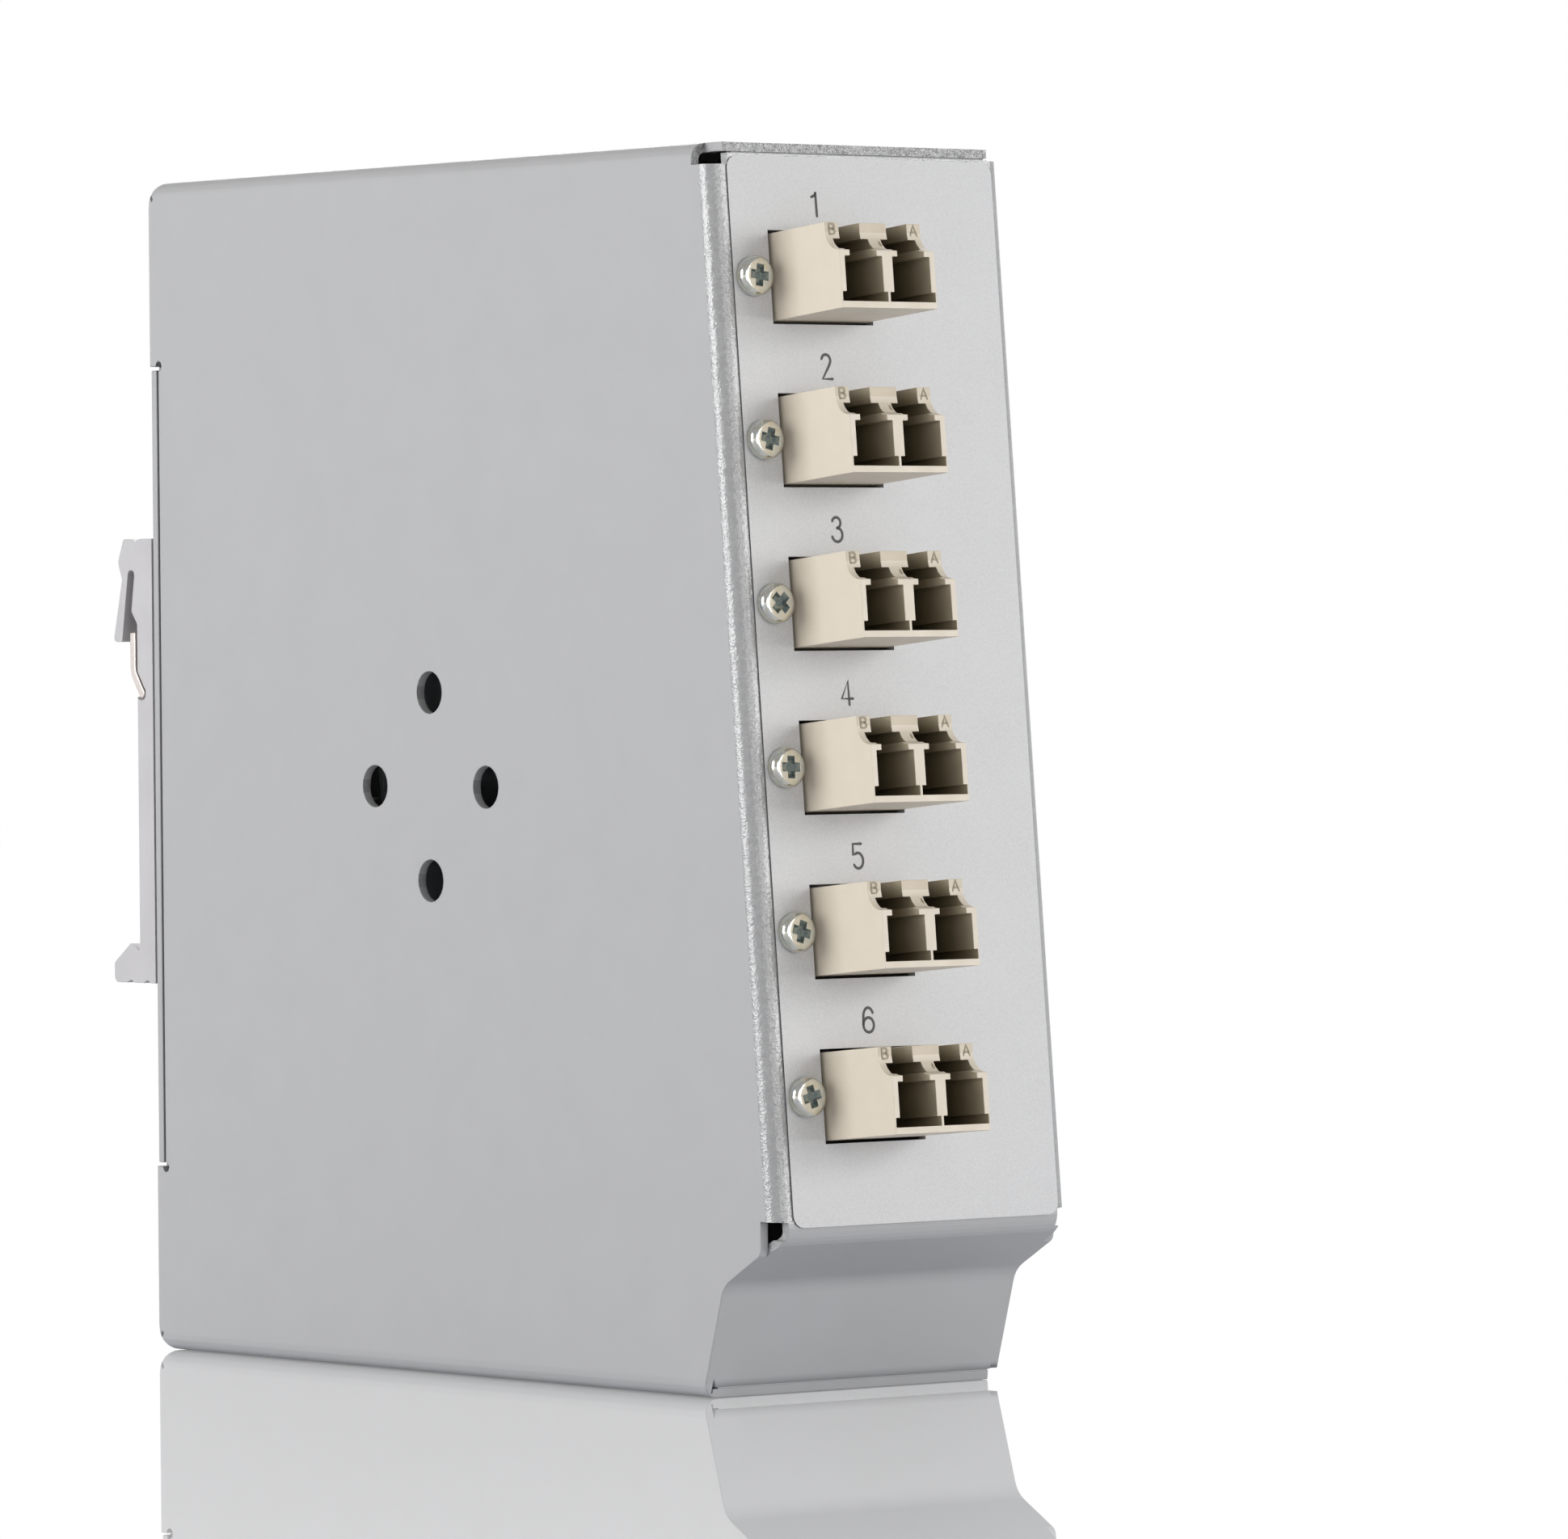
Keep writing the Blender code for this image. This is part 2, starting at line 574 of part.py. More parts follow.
def coupler_profile():
    """Side view of a coupler's body as (y, z): the brow over the ports curves back at both ends."""
    top = COUPLER_HEIGHT / 2
    front = COUPLER_HALF_LENGTH
    centre = (front, top - BROW_HEIGHT)
    quarter = arc(centre, BROW_SETBACK, math.pi, 1.5 * math.pi, BROW_STEPS)
    half = [(front - BROW_SETBACK, top)] + quarter + [(front, -top)]
    ahead = [(COUPLER_MIDDLE - y, z) for y, z in half]
    return ahead + [(COUPLER_MIDDLE + y, z) for y, z in reversed(half)]


def port_outline(x, bottom_up=COUPLER_HEIGHT / 2):
    """One port's stepped opening as (x, z): foot, port, latch neck and latch room."""
    widths = [(PORT_BOTTOM, PORT_FOOT_WIDTH), (PORT_FOOT_TOP, PORT_FOOT_WIDTH), (PORT_FOOT_TOP, PORT_WIDTH),
              (PORT_TOP, PORT_WIDTH), (PORT_TOP, LATCH_NECK_WIDTH), (LATCH_ROOM_BOTTOM, LATCH_NECK_WIDTH),
              (LATCH_ROOM_BOTTOM, LATCH_ROOM_WIDTH), (LATCH_SLOT_BOTTOM, LATCH_ROOM_WIDTH)]
    right = [(x + width / 2, bottom_up - down) for down, width in widths]
    left = [(x - width / 2, bottom_up - down) for down, width in reversed(widths)]
    return right + left


def build_coupler(index, material):
    """One duplex coupler with its flange behind the panel, open ports at both ends."""
    name = f"coupler_{index + 1}"
    half = COUPLER_WIDTH / 2
    body = prism(name, "X", coupler_profile(), -half, half, material)
    flange_back = COUPLER_FLANGE_FRONT + COUPLER_FLANGE_THICKNESS
    wide = COUPLER_FLANGE_WIDTH / 2
    tall = COUPLER_HEIGHT / 2
    corner = 1.5 * MM
    outline = rounded([(-wide, -tall, corner), (wide, -tall, corner), (wide, tall, corner), (-wide, tall, corner)], 3)
    flange = prism(f"{name}_flange", "Y", outline, COUPLER_FLANGE_FRONT, flange_back)
    join(body, flange)
    screw_x = COUPLER_SCREW_SPACING / 2
    tools = [flange]
    holes = cylinders(f"{name}_screw_holes", "Y", [(-screw_x, 0.0), (screw_x, 0.0)],
                      COUPLER_SCREW_RADIUS + CLEARANCE, COUPLER_FLANGE_FRONT - SHEET, flange_back + SHEET, 8)
    tools.append(holes)
    cut(body, holes)
    port_z = COUPLER_HEIGHT / 2 - (PORT_TOP + PORT_BOTTOM) / 2
    centres = [(-PORT_PITCH / 2, port_z), (PORT_PITCH / 2, port_z)]
    for side, end in ((-1, "front"), (1, "back")):
        far = COUPLER_MIDDLE + side * (COUPLER_HALF_LENGTH + SHEET)
        floor = COUPLER_MIDDLE + side * (COUPLER_HALF_LENGTH - PORT_DEPTH)
        slot_floor = COUPLER_MIDDLE + side * (COUPLER_HALF_LENGTH - LATCH_SLOT_DEPTH)
        for x, _ in centres:
            tag = f"{name}_{end}_{'left' if x < 0 else 'right'}"
            port = prism(f"{tag}_port", "Y", port_outline(x), *sorted((far, floor)))
            slot = box(f"{tag}_latch_slot", (x - LATCH_SLOT_WIDTH / 2, x + LATCH_SLOT_WIDTH / 2),
                       sorted((far, slot_floor)),
                       (tall - LATCH_ROOM_BOTTOM, tall + SHEET))
            cut(body, port, slot)
            tools += [port, slot]
    reach = COUPLER_HALF_LENGTH - PORT_DEPTH + FERRULE_TUBE_LENGTH
    tubes = cylinders(f"{name}_tubes", "Y", centres, FERRULE_TUBE_RADIUS, COUPLER_MIDDLE - reach,
                      COUPLER_MIDDLE + reach, 12)
    bores = cylinders(f"{name}_bores", "Y", centres, FERRULE_BORE_RADIUS,
                      COUPLER_MIDDLE - reach - SHEET, COUPLER_MIDDLE + reach + SHEET, 8)
    join(body, tubes)
    cut(body, bores)
    for obj in [body, tubes, bores] + tools:
        obj.matrix_world = coupler_frame(index)
    return body


def pan_head(radius, height, shank, length):
    """Profile of a pan head screw about Z: the seat is at height 0, the head above it."""
    crown = [(radius * math.cos(a), height * (0.45 + 0.55 * math.sin(a)))
             for a in (math.radians(60), math.radians(30), 0.0)]
    return [(0.0, height)] + crown + [(radius, 0.0), (shank, 0.0), (shank, -length), (0.0, -length)]


def make_nut(name, axis, centre, radius, height, bore, near, material):
    """A hexagon nut along an axis, its near face at a value on that axis."""
    nut = cylinders(name, axis, [centre], radius, near, near + height, 6, material)
    hole = cylinders(f"{name}_bore", axis, [centre], bore, near - height, near + 2 * height, 8)
    cut(nut, hole)
    return nut, hole


def build_coupler_fasteners(material):
    """Twelve pan head screws on the label and the nuts behind the couplers' flanges."""
    seat = CLEARANCE + LABEL_THICKNESS + CLEARANCE
    back = COUPLER_FLANGE_FRONT + COUPLER_FLANGE_THICKNESS + CLEARANCE
    profile = pan_head(COUPLER_HEAD_RADIUS, COUPLER_HEAD_HEIGHT, COUPLER_SCREW_RADIUS, COUPLER_SCREW_LENGTH)
    for index in range(COUPLER_COUNT):
        for side in (-1, 1):
            number = 2 * index + (side + 3) // 2
            frame = coupler_frame(index) @ Matrix.Translation((side * COUPLER_SCREW_SPACING / 2, 0.0, 0.0))
            out = Matrix.Translation((0.0, -seat, 0.0)) @ Matrix.Rotation(math.pi / 2, 4, "X")
            turned(f"coupler_screw_{number}", profile, frame @ out, SMALL_STEPS, material)
            for obj in make_nut(f"coupler_nut_{number}", "Y", (0.0, 0.0), COUPLER_NUT_RADIUS, COUPLER_NUT_HEIGHT,
                                COUPLER_SCREW_RADIUS + CLEARANCE, back, material):
                obj.matrix_world = frame


# Rear plate, its screws and the tray leaf

def ear_screw_centres():
    middle = BACK_FLANGE_HEIGHT - EAR_OVERLAP / 2
    heights = (middle, BOX_HEIGHT - middle)
    return [(x, z) for z in heights for x in (-EAR_SCREW_SPACING / 2, EAR_SCREW_SPACING / 2)]


def clip_screw_centres():
    return [(x, CLIP_SCREWS_Z) for x in (-CLIP_SCREW_SPACING / 2, CLIP_SCREW_SPACING / 2)]


def leaf_middle():
    return (WINDOW_BOTTOM + WINDOW_TOP) / 2


def build_rear_plate(material):
    """The plate in the back window: ears behind the flanges and a leaf folded into the box."""
    outer = BACK_Y - SHEET / 2
    inner = BACK_Y - SHEET - CLEARANCE - SHEET / 2
    low = WINDOW_BOTTOM + PLATE_GAP
    high = WINDOW_TOP - PLATE_GAP
    side = HALF_WIDTH - PLATE_SIDE_INSET
    fold = rounded([(-side, outer, 0.0), (LEAF_X + SHEET / 2, outer, BEND_RADIUS - SHEET / 2),
                    (LEAF_X + SHEET / 2, BACK_Y - LEAF_DEPTH, 0.0)], closed=False)
    plate = prism("rear_plate", "Z", strip(fold, SHEET), low, high, material)
    half = LEAF_HEIGHT / 2
    middle = leaf_middle()
    leaf_room = (BACK_Y - LEAF_DEPTH - SHEET, BACK_Y - 2 * BEND_RADIUS)
    inside = (LEAF_X - SHEET, HALF_WIDTH)
    cut(plate, box("leaf_lower_trim", inside, leaf_room, (low - SHEET, middle - half)),
        box("leaf_upper_trim", inside, leaf_room, (middle + half, high + SHEET)))
    for name, edge, into in (("lower", low, 1), ("upper", high, -1)):
        path = [(inner, edge - into * (PLATE_GAP + EAR_OVERLAP)), (inner, edge),
                (outer, edge + into * EAR_STEP), (outer, edge + into * 2 * EAR_STEP)]
        join(plate, prism(f"ear_{name}", "X", strip(path, SHEET), -EAR_WIDTH / 2, EAR_WIDTH / 2))
    ear_face = inner - SHEET / 2
    deep = BACK_Y - 4 * SHEET - M3_NUT_HEIGHT
    join(plate,
         cylinders("ear_press_nuts", "Y", ear_screw_centres(), M3_NUT_RADIUS, ear_face - M3_NUT_HEIGHT,
                   ear_face + SHEET / 2, 12),
         cylinders("clip_press_nuts", "Y", clip_screw_centres(), M3_NUT_RADIUS, BACK_Y - SHEET - M3_NUT_HEIGHT,
                   BACK_Y - SHEET / 2, 12))
    cut(plate, cylinders("plate_holes", "Y", ear_screw_centres() + clip_screw_centres(), M3_RADIUS + CLEARANCE,
                         deep, BACK_Y + SHEET))
    cut(plate, cylinders("leaf_holes", "X", tray_screw_centres() + [bracket_screw_centre()],
                         M3_RADIUS + CLEARANCE, LEAF_X - SHEET, LEAF_X + 2 * SHEET))
    return plate


def build_plate_screws(material):
    """Pan head screws through the back flanges into the press nuts of the rear plate's ears."""
    profile = pan_head(M3_HEAD_RADIUS, M3_HEAD_HEIGHT, M3_RADIUS, 3 * SHEET + M3_NUT_HEIGHT)
    for i, (x, z) in enumerate(ear_screw_centres()):
        place = Matrix.Translation((x, BACK_Y + CLEARANCE, z)) @ Matrix.Rotation(-math.pi / 2, 4, "X")
        turned(f"rear_plate_screw_{i + 1}", profile, place, ROUND_STEPS, material)


# Rail clip

def clip_outline():
    """Side view of the clip as (y, z): a plate, the springy upper hook and the lower wedge."""
    base = BACK_Y + CLEARANCE
    seat = SEAT_Y
    tip = base + CLIP_REACH
    low = CLIP_LOWER_EDGE
    top = low + CLIP_HEIGHT
    lip = low + HOOK_LIP
    slot_top = low + HOOK_SLOT_TOP
    wedge = low + WEDGE_TOP
    groove = CLIP_GROOVE / 2
    corners = [
        (base, low, 0.0),
        (seat - 1.4 * MM - groove, low, 0.0), (seat - 1.4 * MM, low + CLIP_GROOVE_DEPTH, 0.0),
        (seat - 1.4 * MM + groove, low, 0.0),
        (seat + 1.9 * MM - groove, low, 0.0), (seat + 1.9 * MM, low + CLIP_GROOVE_DEPTH, 0.0),
        (seat + 1.9 * MM + groove, low, 0.0),
        (tip, low, 0.7 * MM), (tip, low + 2.2 * MM, 0.4 * MM),
        (seat + WEDGE_STEP, wedge, 0.2 * MM), (seat + WEDGE_STEP - 0.5 * MM, wedge, 0.0),
        (seat + 0.2 * MM, wedge - 0.8 * MM, 0.0), (seat, wedge, 0.0),
    ]
    corners += [(y, z, 0.0) for y, z in spring_channel()]
    corners += [
        (seat, lip + 2.0 * MM, 0.5 * MM), (seat + 1.1 * MM, lip + 3.4 * MM, 0.5 * MM),
        (seat + 0.4 * MM, slot_top, 0.5 * MM), (seat + 0.4 * MM + HOOK_SLOT_WIDTH, slot_top, 0.5 * MM),
        (seat + 3.0 * MM, lip, 0.2 * MM), (seat + 4.7 * MM, lip, 0.5 * MM),
        (seat + 2.9 * MM, slot_top - 1.0 * MM, 0.8 * MM), (seat + 3.7 * MM, slot_top + 0.9 * MM, 0.9 * MM),
        (seat + 2.6 * MM, top, 0.3 * MM),
        (seat + 1.0 * MM, top, 0.0), (seat + 0.3 * MM, top - CLIP_GROOVE_DEPTH, 0.0),
        (seat - 0.5 * MM, top, 0.0), (base, top, 0.0),
    ]
    return rounded(corners, 3)


def spring_pivot():
    """Middle of the spring's rolled root, in its channel in the clip."""
    return SEAT_Y - SPRING_PIVOT_DEPTH, CLIP_LOWER_EDGE + SPRING_PIVOT_HEIGHT


def spring_path():
    """Middle line of the spring as (y, z): root, knee and free end."""
    y, z = spring_pivot()
    nose = SEAT_Y + SPRING_RISE - SPRING_THICKNESS / 2
    return [(y, z), (nose, z + SPRING_KNEE), (nose, z + SPRING_LENGTH)]


def spring_channel():
    """The clip's channel round the root, and its mouth along the spring, clear of both."""
    root, knee, _ = (Vector(p) for p in spring_path())
    round_room = SPRING_PIVOT_RADIUS + CLEARANCE
    flat_room = SPRING_THICKNESS / 2 + CLEARANCE
    lean = math.atan2(knee.y - root.y, knee.x - root.x)
    start = -math.acos(SPRING_PIVOT_DEPTH / round_room)
    end = lean + math.pi / 2 - math.acos(flat_room / round_room)
    channel = arc(root, round_room, start, end - 2 * math.pi, 10)
    run = (SEAT_Y - channel[-1][0]) * math.tan(lean)
    return channel + [(SEAT_Y, channel[-1][1] + run)]


def build_clip(material):
    half = HALF_WIDTH - CLIP_SIDE_INSET
    clip = prism("din_clip", "X", clip_outline(), -half, half, material)
    low = BACK_Y - SHEET
    cut(clip, cylinders("clip_screw_holes", "Y", clip_screw_centres(), M3_RADIUS + CLEARANCE, low, SEAT_Y + SHEET))
    sink = M3_HEAD_HEIGHT
    bm = bmesh.new()
    for x, z in clip_screw_centres():
        place = Matrix.Translation((x, SEAT_Y - sink / 2, z)) @ AXIS_TURN["Y"]
        bmesh.ops.create_cone(bm, cap_ends=True, segments=20, radius1=M3_RADIUS + CLEARANCE,
                              radius2=M3_HEAD_RADIUS + CLEARANCE, depth=sink + 0.02 * MM, matrix=place)
    cut(clip, new_object("clip_countersinks", bm))
    return clip


def build_spring(material):
    """The bent strip: a rolled root in the clip's channel and a nose that stands proud of the seat."""
    foot, knee, end = spring_path()
    path = rounded([(*foot, 0.0), (*knee, 2.0 * MM), (*end, 0.0)], 5, closed=False)
    half = HALF_WIDTH - CLIP_SIDE_INSET
    spring = prism("rail_spring", "X", strip(path, SPRING_THICKNESS), -half, half, material)
    root = cylinders("rail_spring_root", "X", [foot], SPRING_PIVOT_RADIUS, -half, half, 12)
    join(spring, root)
    origin = Vector((0.0, *foot))
    for obj in (spring, root):
        obj.data.transform(Matrix.Translation(-origin))
        obj.location = origin
    return spring


def build_clip_screws(material):
    """Countersunk screws, flush with the clip's rail seat, in the plate's press nuts."""
    sink = M3_HEAD_HEIGHT - 0.1 * MM
    length = CLIP_PLATE + 2 * SHEET + CLEARANCE + M3_NUT_HEIGHT
    profile = [(0.0, 0.0), (M3_HEAD_RADIUS, 0.0), (M3_RADIUS, -sink), (M3_RADIUS, -length), (0.0, -length)]
    for i, (x, z) in enumerate(clip_screw_centres()):
        place = Matrix.Translation((x, SEAT_Y - 0.05 * MM, z)) @ Matrix.Rotation(-math.pi / 2, 4, "X")
        turned(f"clip_screw_{i + 1}", profile, place, ROUND_STEPS, material)


# Splice tray on the leaf

def tray_span():
    back = BACK_Y - 3 * SHEET - M3_NUT_HEIGHT - 3 * CLEARANCE
    middle = leaf_middle() + (LEAF_HEIGHT - TRAY_WIDTH) / 2 - SHEET
    return (back - TRAY_LENGTH, back), (middle - TRAY_WIDTH / 2, middle + TRAY_WIDTH / 2)


def tray_screw_centres():
    (y1, y2), (z1, z2) = tray_span()
    edge = 5.0 * MM
    return [(y1 + edge + M3_HEAD_RADIUS, (z1 + z2) / 2), (y2 - edge - M3_HEAD_RADIUS, (z1 + z2) / 2)]


def tray_outline(inset):
    (y1, y2), (z1, z2) = tray_span()
    r = TRAY_CORNER_RADIUS - inset
    return rounded([(y1 + inset, z1 + inset, r), (y2 - inset, z1 + inset, r),
                    (y2 - inset, z2 - inset, r), (y1 + inset, z2 - inset, r)], 6)


def build_tray(material):
    """A shallow tray whose rounded wall leads the fibres round, open to the box's middle."""
    tray = prism("splice_tray", "X", tray_outline(0.0), TRAY_X - TRAY_HEIGHT, TRAY_X, material)
    cut(tray, prism("tray_inside", "X", tray_outline(TRAY_WALL), TRAY_X - 2 * TRAY_HEIGHT, TRAY_X - TRAY_WALL))
    (y1, y2), (z1, z2) = tray_span()
    deep = (TRAY_X - 2 * TRAY_HEIGHT, TRAY_X - TRAY_WALL)
    width = TRAY_ENTRY_WIDTH
    middle = (y1 + y2) / 2
    cut(tray,
        box("tray_entry_low", deep, (middle - width / 2, middle + width / 2), (z1 - SHEET, z1 + 2 * TRAY_WALL)),
        cylinders("tray_screw_holes", "X", tray_screw_centres(), M3_RADIUS + CLEARANCE,
                  TRAY_X - TRAY_HEIGHT, TRAY_X + SHEET))
    return tray


def build_lid(material):
    low = TRAY_X - TRAY_HEIGHT - CLEARANCE
    return prism("tray_lid", "X", tray_outline(0.0), low - LID_THICKNESS, low, material)


def holder_frame():
    """Middle of the splice holder on the tray's floor."""
    (y1, y2), (z1, z2) = tray_span()
    return (y1 + y2) / 2, (z1 + z2) / 2, TRAY_X - TRAY_WALL - CLEARANCE


def splice_slot_heights():
    _, z, _ = holder_frame()
    pitch = SPLICE_SLOT_WIDTH + HOLDER_WALL
    return [z + pitch * (i - (SPLICE_SLOTS - 1) / 2) for i in range(SPLICE_SLOTS)]


def build_holder(material):
    """A comb that grips the splice sleeves."""
    y, z, floor = holder_frame()
    tall = SPLICE_SLOTS * (SPLICE_SLOT_WIDTH + HOLDER_WALL) + HOLDER_WALL
    holder = box("splice_holder", (floor - HOLDER_HEIGHT, floor), (y - HOLDER_LENGTH / 2, y + HOLDER_LENGTH / 2),
                 (z - tall / 2, z + tall / 2), material)
    for i, height in enumerate(splice_slot_heights()):
        cut(holder, box(f"splice_slot_{i + 1}", (floor - 2 * HOLDER_HEIGHT, floor - SPLICE_FLOOR),
                        (y - HOLDER_LENGTH, y + HOLDER_LENGTH),
                        (height - SPLICE_SLOT_WIDTH / 2, height + SPLICE_SLOT_WIDTH / 2)))
    return holder


def build_splices(material):
    """Shrunk splice sleeves lying in the holder's slots."""
    y, _, floor = holder_frame()
    x = floor - SPLICE_FLOOR - CLEARANCE - SPLICE_RADIUS
    for i, z in enumerate(splice_slot_heights()):
        cylinders(f"splice_sleeve_{i + 1}", "Y", [(x, z)], SPLICE_RADIUS,
                  y - SPLICE_LENGTH / 2, y + SPLICE_LENGTH / 2, 10, material)


def build_tray_screws(material):
    """Screws through the tray's floor into the leaf, heads inside the tray."""
    profile = pan_head(M3_HEAD_RADIUS, M3_HEAD_HEIGHT, M3_RADIUS, TRAY_WALL + CLEARANCE + SHEET)
    for i, (y, z) in enumerate(tray_screw_centres()):
        seat = Matrix.Translation((TRAY_X - TRAY_WALL - CLEARANCE, y, z))
        turned(f"tray_screw_{i + 1}", profile, seat @ Matrix.Rotation(-math.pi / 2, 4, "Y"), ROUND_STEPS, material)


# Cable bracket

def bracket_screw_centre():
    return ENTRY_Y, leaf_middle() - LEAF_HEIGHT / 2 + 5.0 * MM


def build_bracket(material):
    """A bent tab over the cable entry hole, with slots for a cable tie."""
    y, z = bracket_screw_centre()
    x = LEAF_X - CLEARANCE - SHEET / 2
    high = z + BRACKET_LEG / 2
    path = rounded([(x, z - BRACKET_LEG / 2, 0.0), (x, high, BEND_RADIUS), (x - BRACKET_REACH, high, 0.0)],
                   3, closed=False)
    half = BRACKET_WIDTH / 2
    bracket = prism("cable_bracket", "Y", strip(path, SHEET), y - half, y + half, material)
    cut(bracket, cylinders("bracket_hole", "X", [(y, z)], M3_RADIUS + CLEARANCE, x - 2 * SHEET, x + 2 * SHEET))
    for side in (-1, 1):
        slot_y = y + side * BRACKET_WIDTH / 4
        cut(bracket, box(f"tie_slot_{'front' if side < 0 else 'back'}",
                         (x - BRACKET_REACH + SHEET, x - BRACKET_REACH + SHEET + TIE_SLOT_LENGTH),
                         (slot_y - TIE_SLOT_WIDTH / 2, slot_y + TIE_SLOT_WIDTH / 2), (high - 2 * SHEET, high + 2 * SHEET)))
    return bracket


def build_bracket_screw(material):
    profile = pan_head(M3_HEAD_RADIUS, M3_HEAD_HEIGHT, M3_RADIUS, 2 * SHEET + CLEARANCE)
    y, z = bracket_screw_centre()
    x = LEAF_X - CLEARANCE - SHEET - CLEARANCE
    place = Matrix.Translation((x, y, z)) @ Matrix.Rotation(-math.pi / 2, 4, "Y")
    return turned("bracket_screw", profile, place, ROUND_STEPS, material)


def shade_smooth():
    for obj in PARTS.objects:
        obj.data.shade_smooth()
        obj.data.set_sharp_from_angle(angle=math.radians(30))


clear_scene()
PARTS = new_collection("din_rail_fibre_box")
CUTTERS = new_collection("cutters")

coat = make_material("powder_coat", (0.52, 0.52, 0.53), 0.45)
foil = make_material("label_foil", (0.60, 0.60, 0.60), 0.5)
zinc = make_material("zinc_steel", (0.75, 0.75, 0.72), 0.3, 1.0)
beige = make_material("beige_plastic", (0.66, 0.58, 0.45), 0.4)
cast = make_material("clip_grey", (0.60, 0.59, 0.59), 0.5)
spring_steel = make_material("spring_steel", (0.62, 0.55, 0.52), 0.35, 1.0)
black_plastic = make_material("tray_plastic", (0.05, 0.05, 0.05), 0.5)
clear_plastic = make_material("clear_plastic", (0.80, 0.83, 0.85), 0.1)
holder_plastic = make_material("holder_plastic", (0.75, 0.75, 0.72), 0.5)
shrink = make_material("splice_shrink", (0.80, 0.80, 0.78), 0.4)

build_body(coat)
build_label(foil)
for number in range(COUPLER_COUNT):
    build_coupler(number, beige)
build_coupler_fasteners(zinc)
build_rear_plate(coat)
build_plate_screws(zinc)
build_clip(cast)
build_spring(spring_steel)
build_clip_screws(zinc)
build_tray(black_plastic)
build_lid(clear_plastic)
build_holder(holder_plastic)
build_splices(shrink)
build_tray_screws(zinc)
build_bracket(zinc)
build_bracket_screw(zinc)
shade_smooth()
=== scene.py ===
"""Looks for the DIN rail fibre box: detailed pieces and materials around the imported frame."""

import json
import math

import bmesh
import bpy
from mathutils import Matrix, Vector


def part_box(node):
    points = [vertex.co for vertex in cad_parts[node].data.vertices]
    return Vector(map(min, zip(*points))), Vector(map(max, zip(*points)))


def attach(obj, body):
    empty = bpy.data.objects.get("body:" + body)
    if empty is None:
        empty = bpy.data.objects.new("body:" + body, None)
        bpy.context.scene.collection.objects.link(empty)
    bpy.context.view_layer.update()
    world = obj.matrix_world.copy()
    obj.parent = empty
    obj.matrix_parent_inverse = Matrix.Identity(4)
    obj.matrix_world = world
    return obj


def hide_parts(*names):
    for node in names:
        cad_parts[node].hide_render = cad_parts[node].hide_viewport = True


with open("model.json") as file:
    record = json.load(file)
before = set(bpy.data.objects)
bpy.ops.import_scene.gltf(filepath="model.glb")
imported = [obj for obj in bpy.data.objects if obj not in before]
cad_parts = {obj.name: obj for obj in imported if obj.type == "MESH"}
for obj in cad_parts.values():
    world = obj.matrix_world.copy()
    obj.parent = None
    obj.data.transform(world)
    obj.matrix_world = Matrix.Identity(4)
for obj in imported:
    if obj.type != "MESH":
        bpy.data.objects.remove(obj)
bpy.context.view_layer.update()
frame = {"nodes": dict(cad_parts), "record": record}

MM = 0.001

# Sizes that the detailed pieces share with the solids
PANEL_LEAN = math.radians(5.1)
FRONT_Y = -51.75 * MM
BOX_HEIGHT = 130.0 * MM
COUPLER_X = -5.9 * MM
COUPLER_FIRST = 14.0 * MM
COUPLER_PITCH = 17.0 * MM
SCREW_X = 9.0 * MM
LABEL_FRONT = 0.16 * MM
BROW_Y = -9.3 * MM
PORT_MOUTH_Y = -11.4 * MM
PORT_END_Y = 16.0 * MM
WALL_X = 18.55 * MM
CHIN_END_X = 18.38 * MM

# The chin in its outline, as (y, z): toe, knee, the walls' corner and brow
CHIN_TOE = (-49.446, 1.12)
CHIN_KNEE = (-52.75, 11.80)
CHIN_CORNER = (-59.083, 15.279)
CHIN_BROW = (-61.822, 16.784)
PANEL_SLOPE = 0.0892
BROW_SLOPE = 1.82
KNEE_REACH = 1.3 * MM
BROW_REACH = 1.8 * MM
SLIT_TOP = 15.0 * MM
SLIT_FOOT = 2.0 * MM
STRIP_FOOT = 19.0 * MM
CUT_EDGE_Y = -48.9 * MM

# Heads of the screws
HEAD_M2 = 1.35 * MM
HEAD_M3 = 1.9 * MM
SCREW_TURNS = (-8, 25, -14, 60, 45, 10, -2, 33, -17, 5, 14, 72)

# The photograph's own view, in degrees, and the point that it aims at, in millimetres
VIEW_AZIMUTH, VIEW_PITCH, VIEW_ROLL = -37.9851, -0.7344, -0.5081
VIEW_TARGET = (-16.4323, -59.7441, 65.1608)
VIEW_LENS = 223.35

# Soft lamps: name, place and size in metres, power in watts
LAMP_AIM = (0.0, 0.0, 0.06)
LAMPS = (
    ("left_softbox", (-1.243, 0.380, 0.37), (0.9, 0.72), 12.5),
    ("front_softbox", (0.80, -1.27, 0.33), (1.0, 0.62), 9.6),
    ("back_softbox", (1.0, 0.95, 0.95), (0.8, 0.8), 10.0),
    ("front_fill", (-0.21, -1.49, 0.32), (0.6, 0.6), 3.0),
)


# Materials

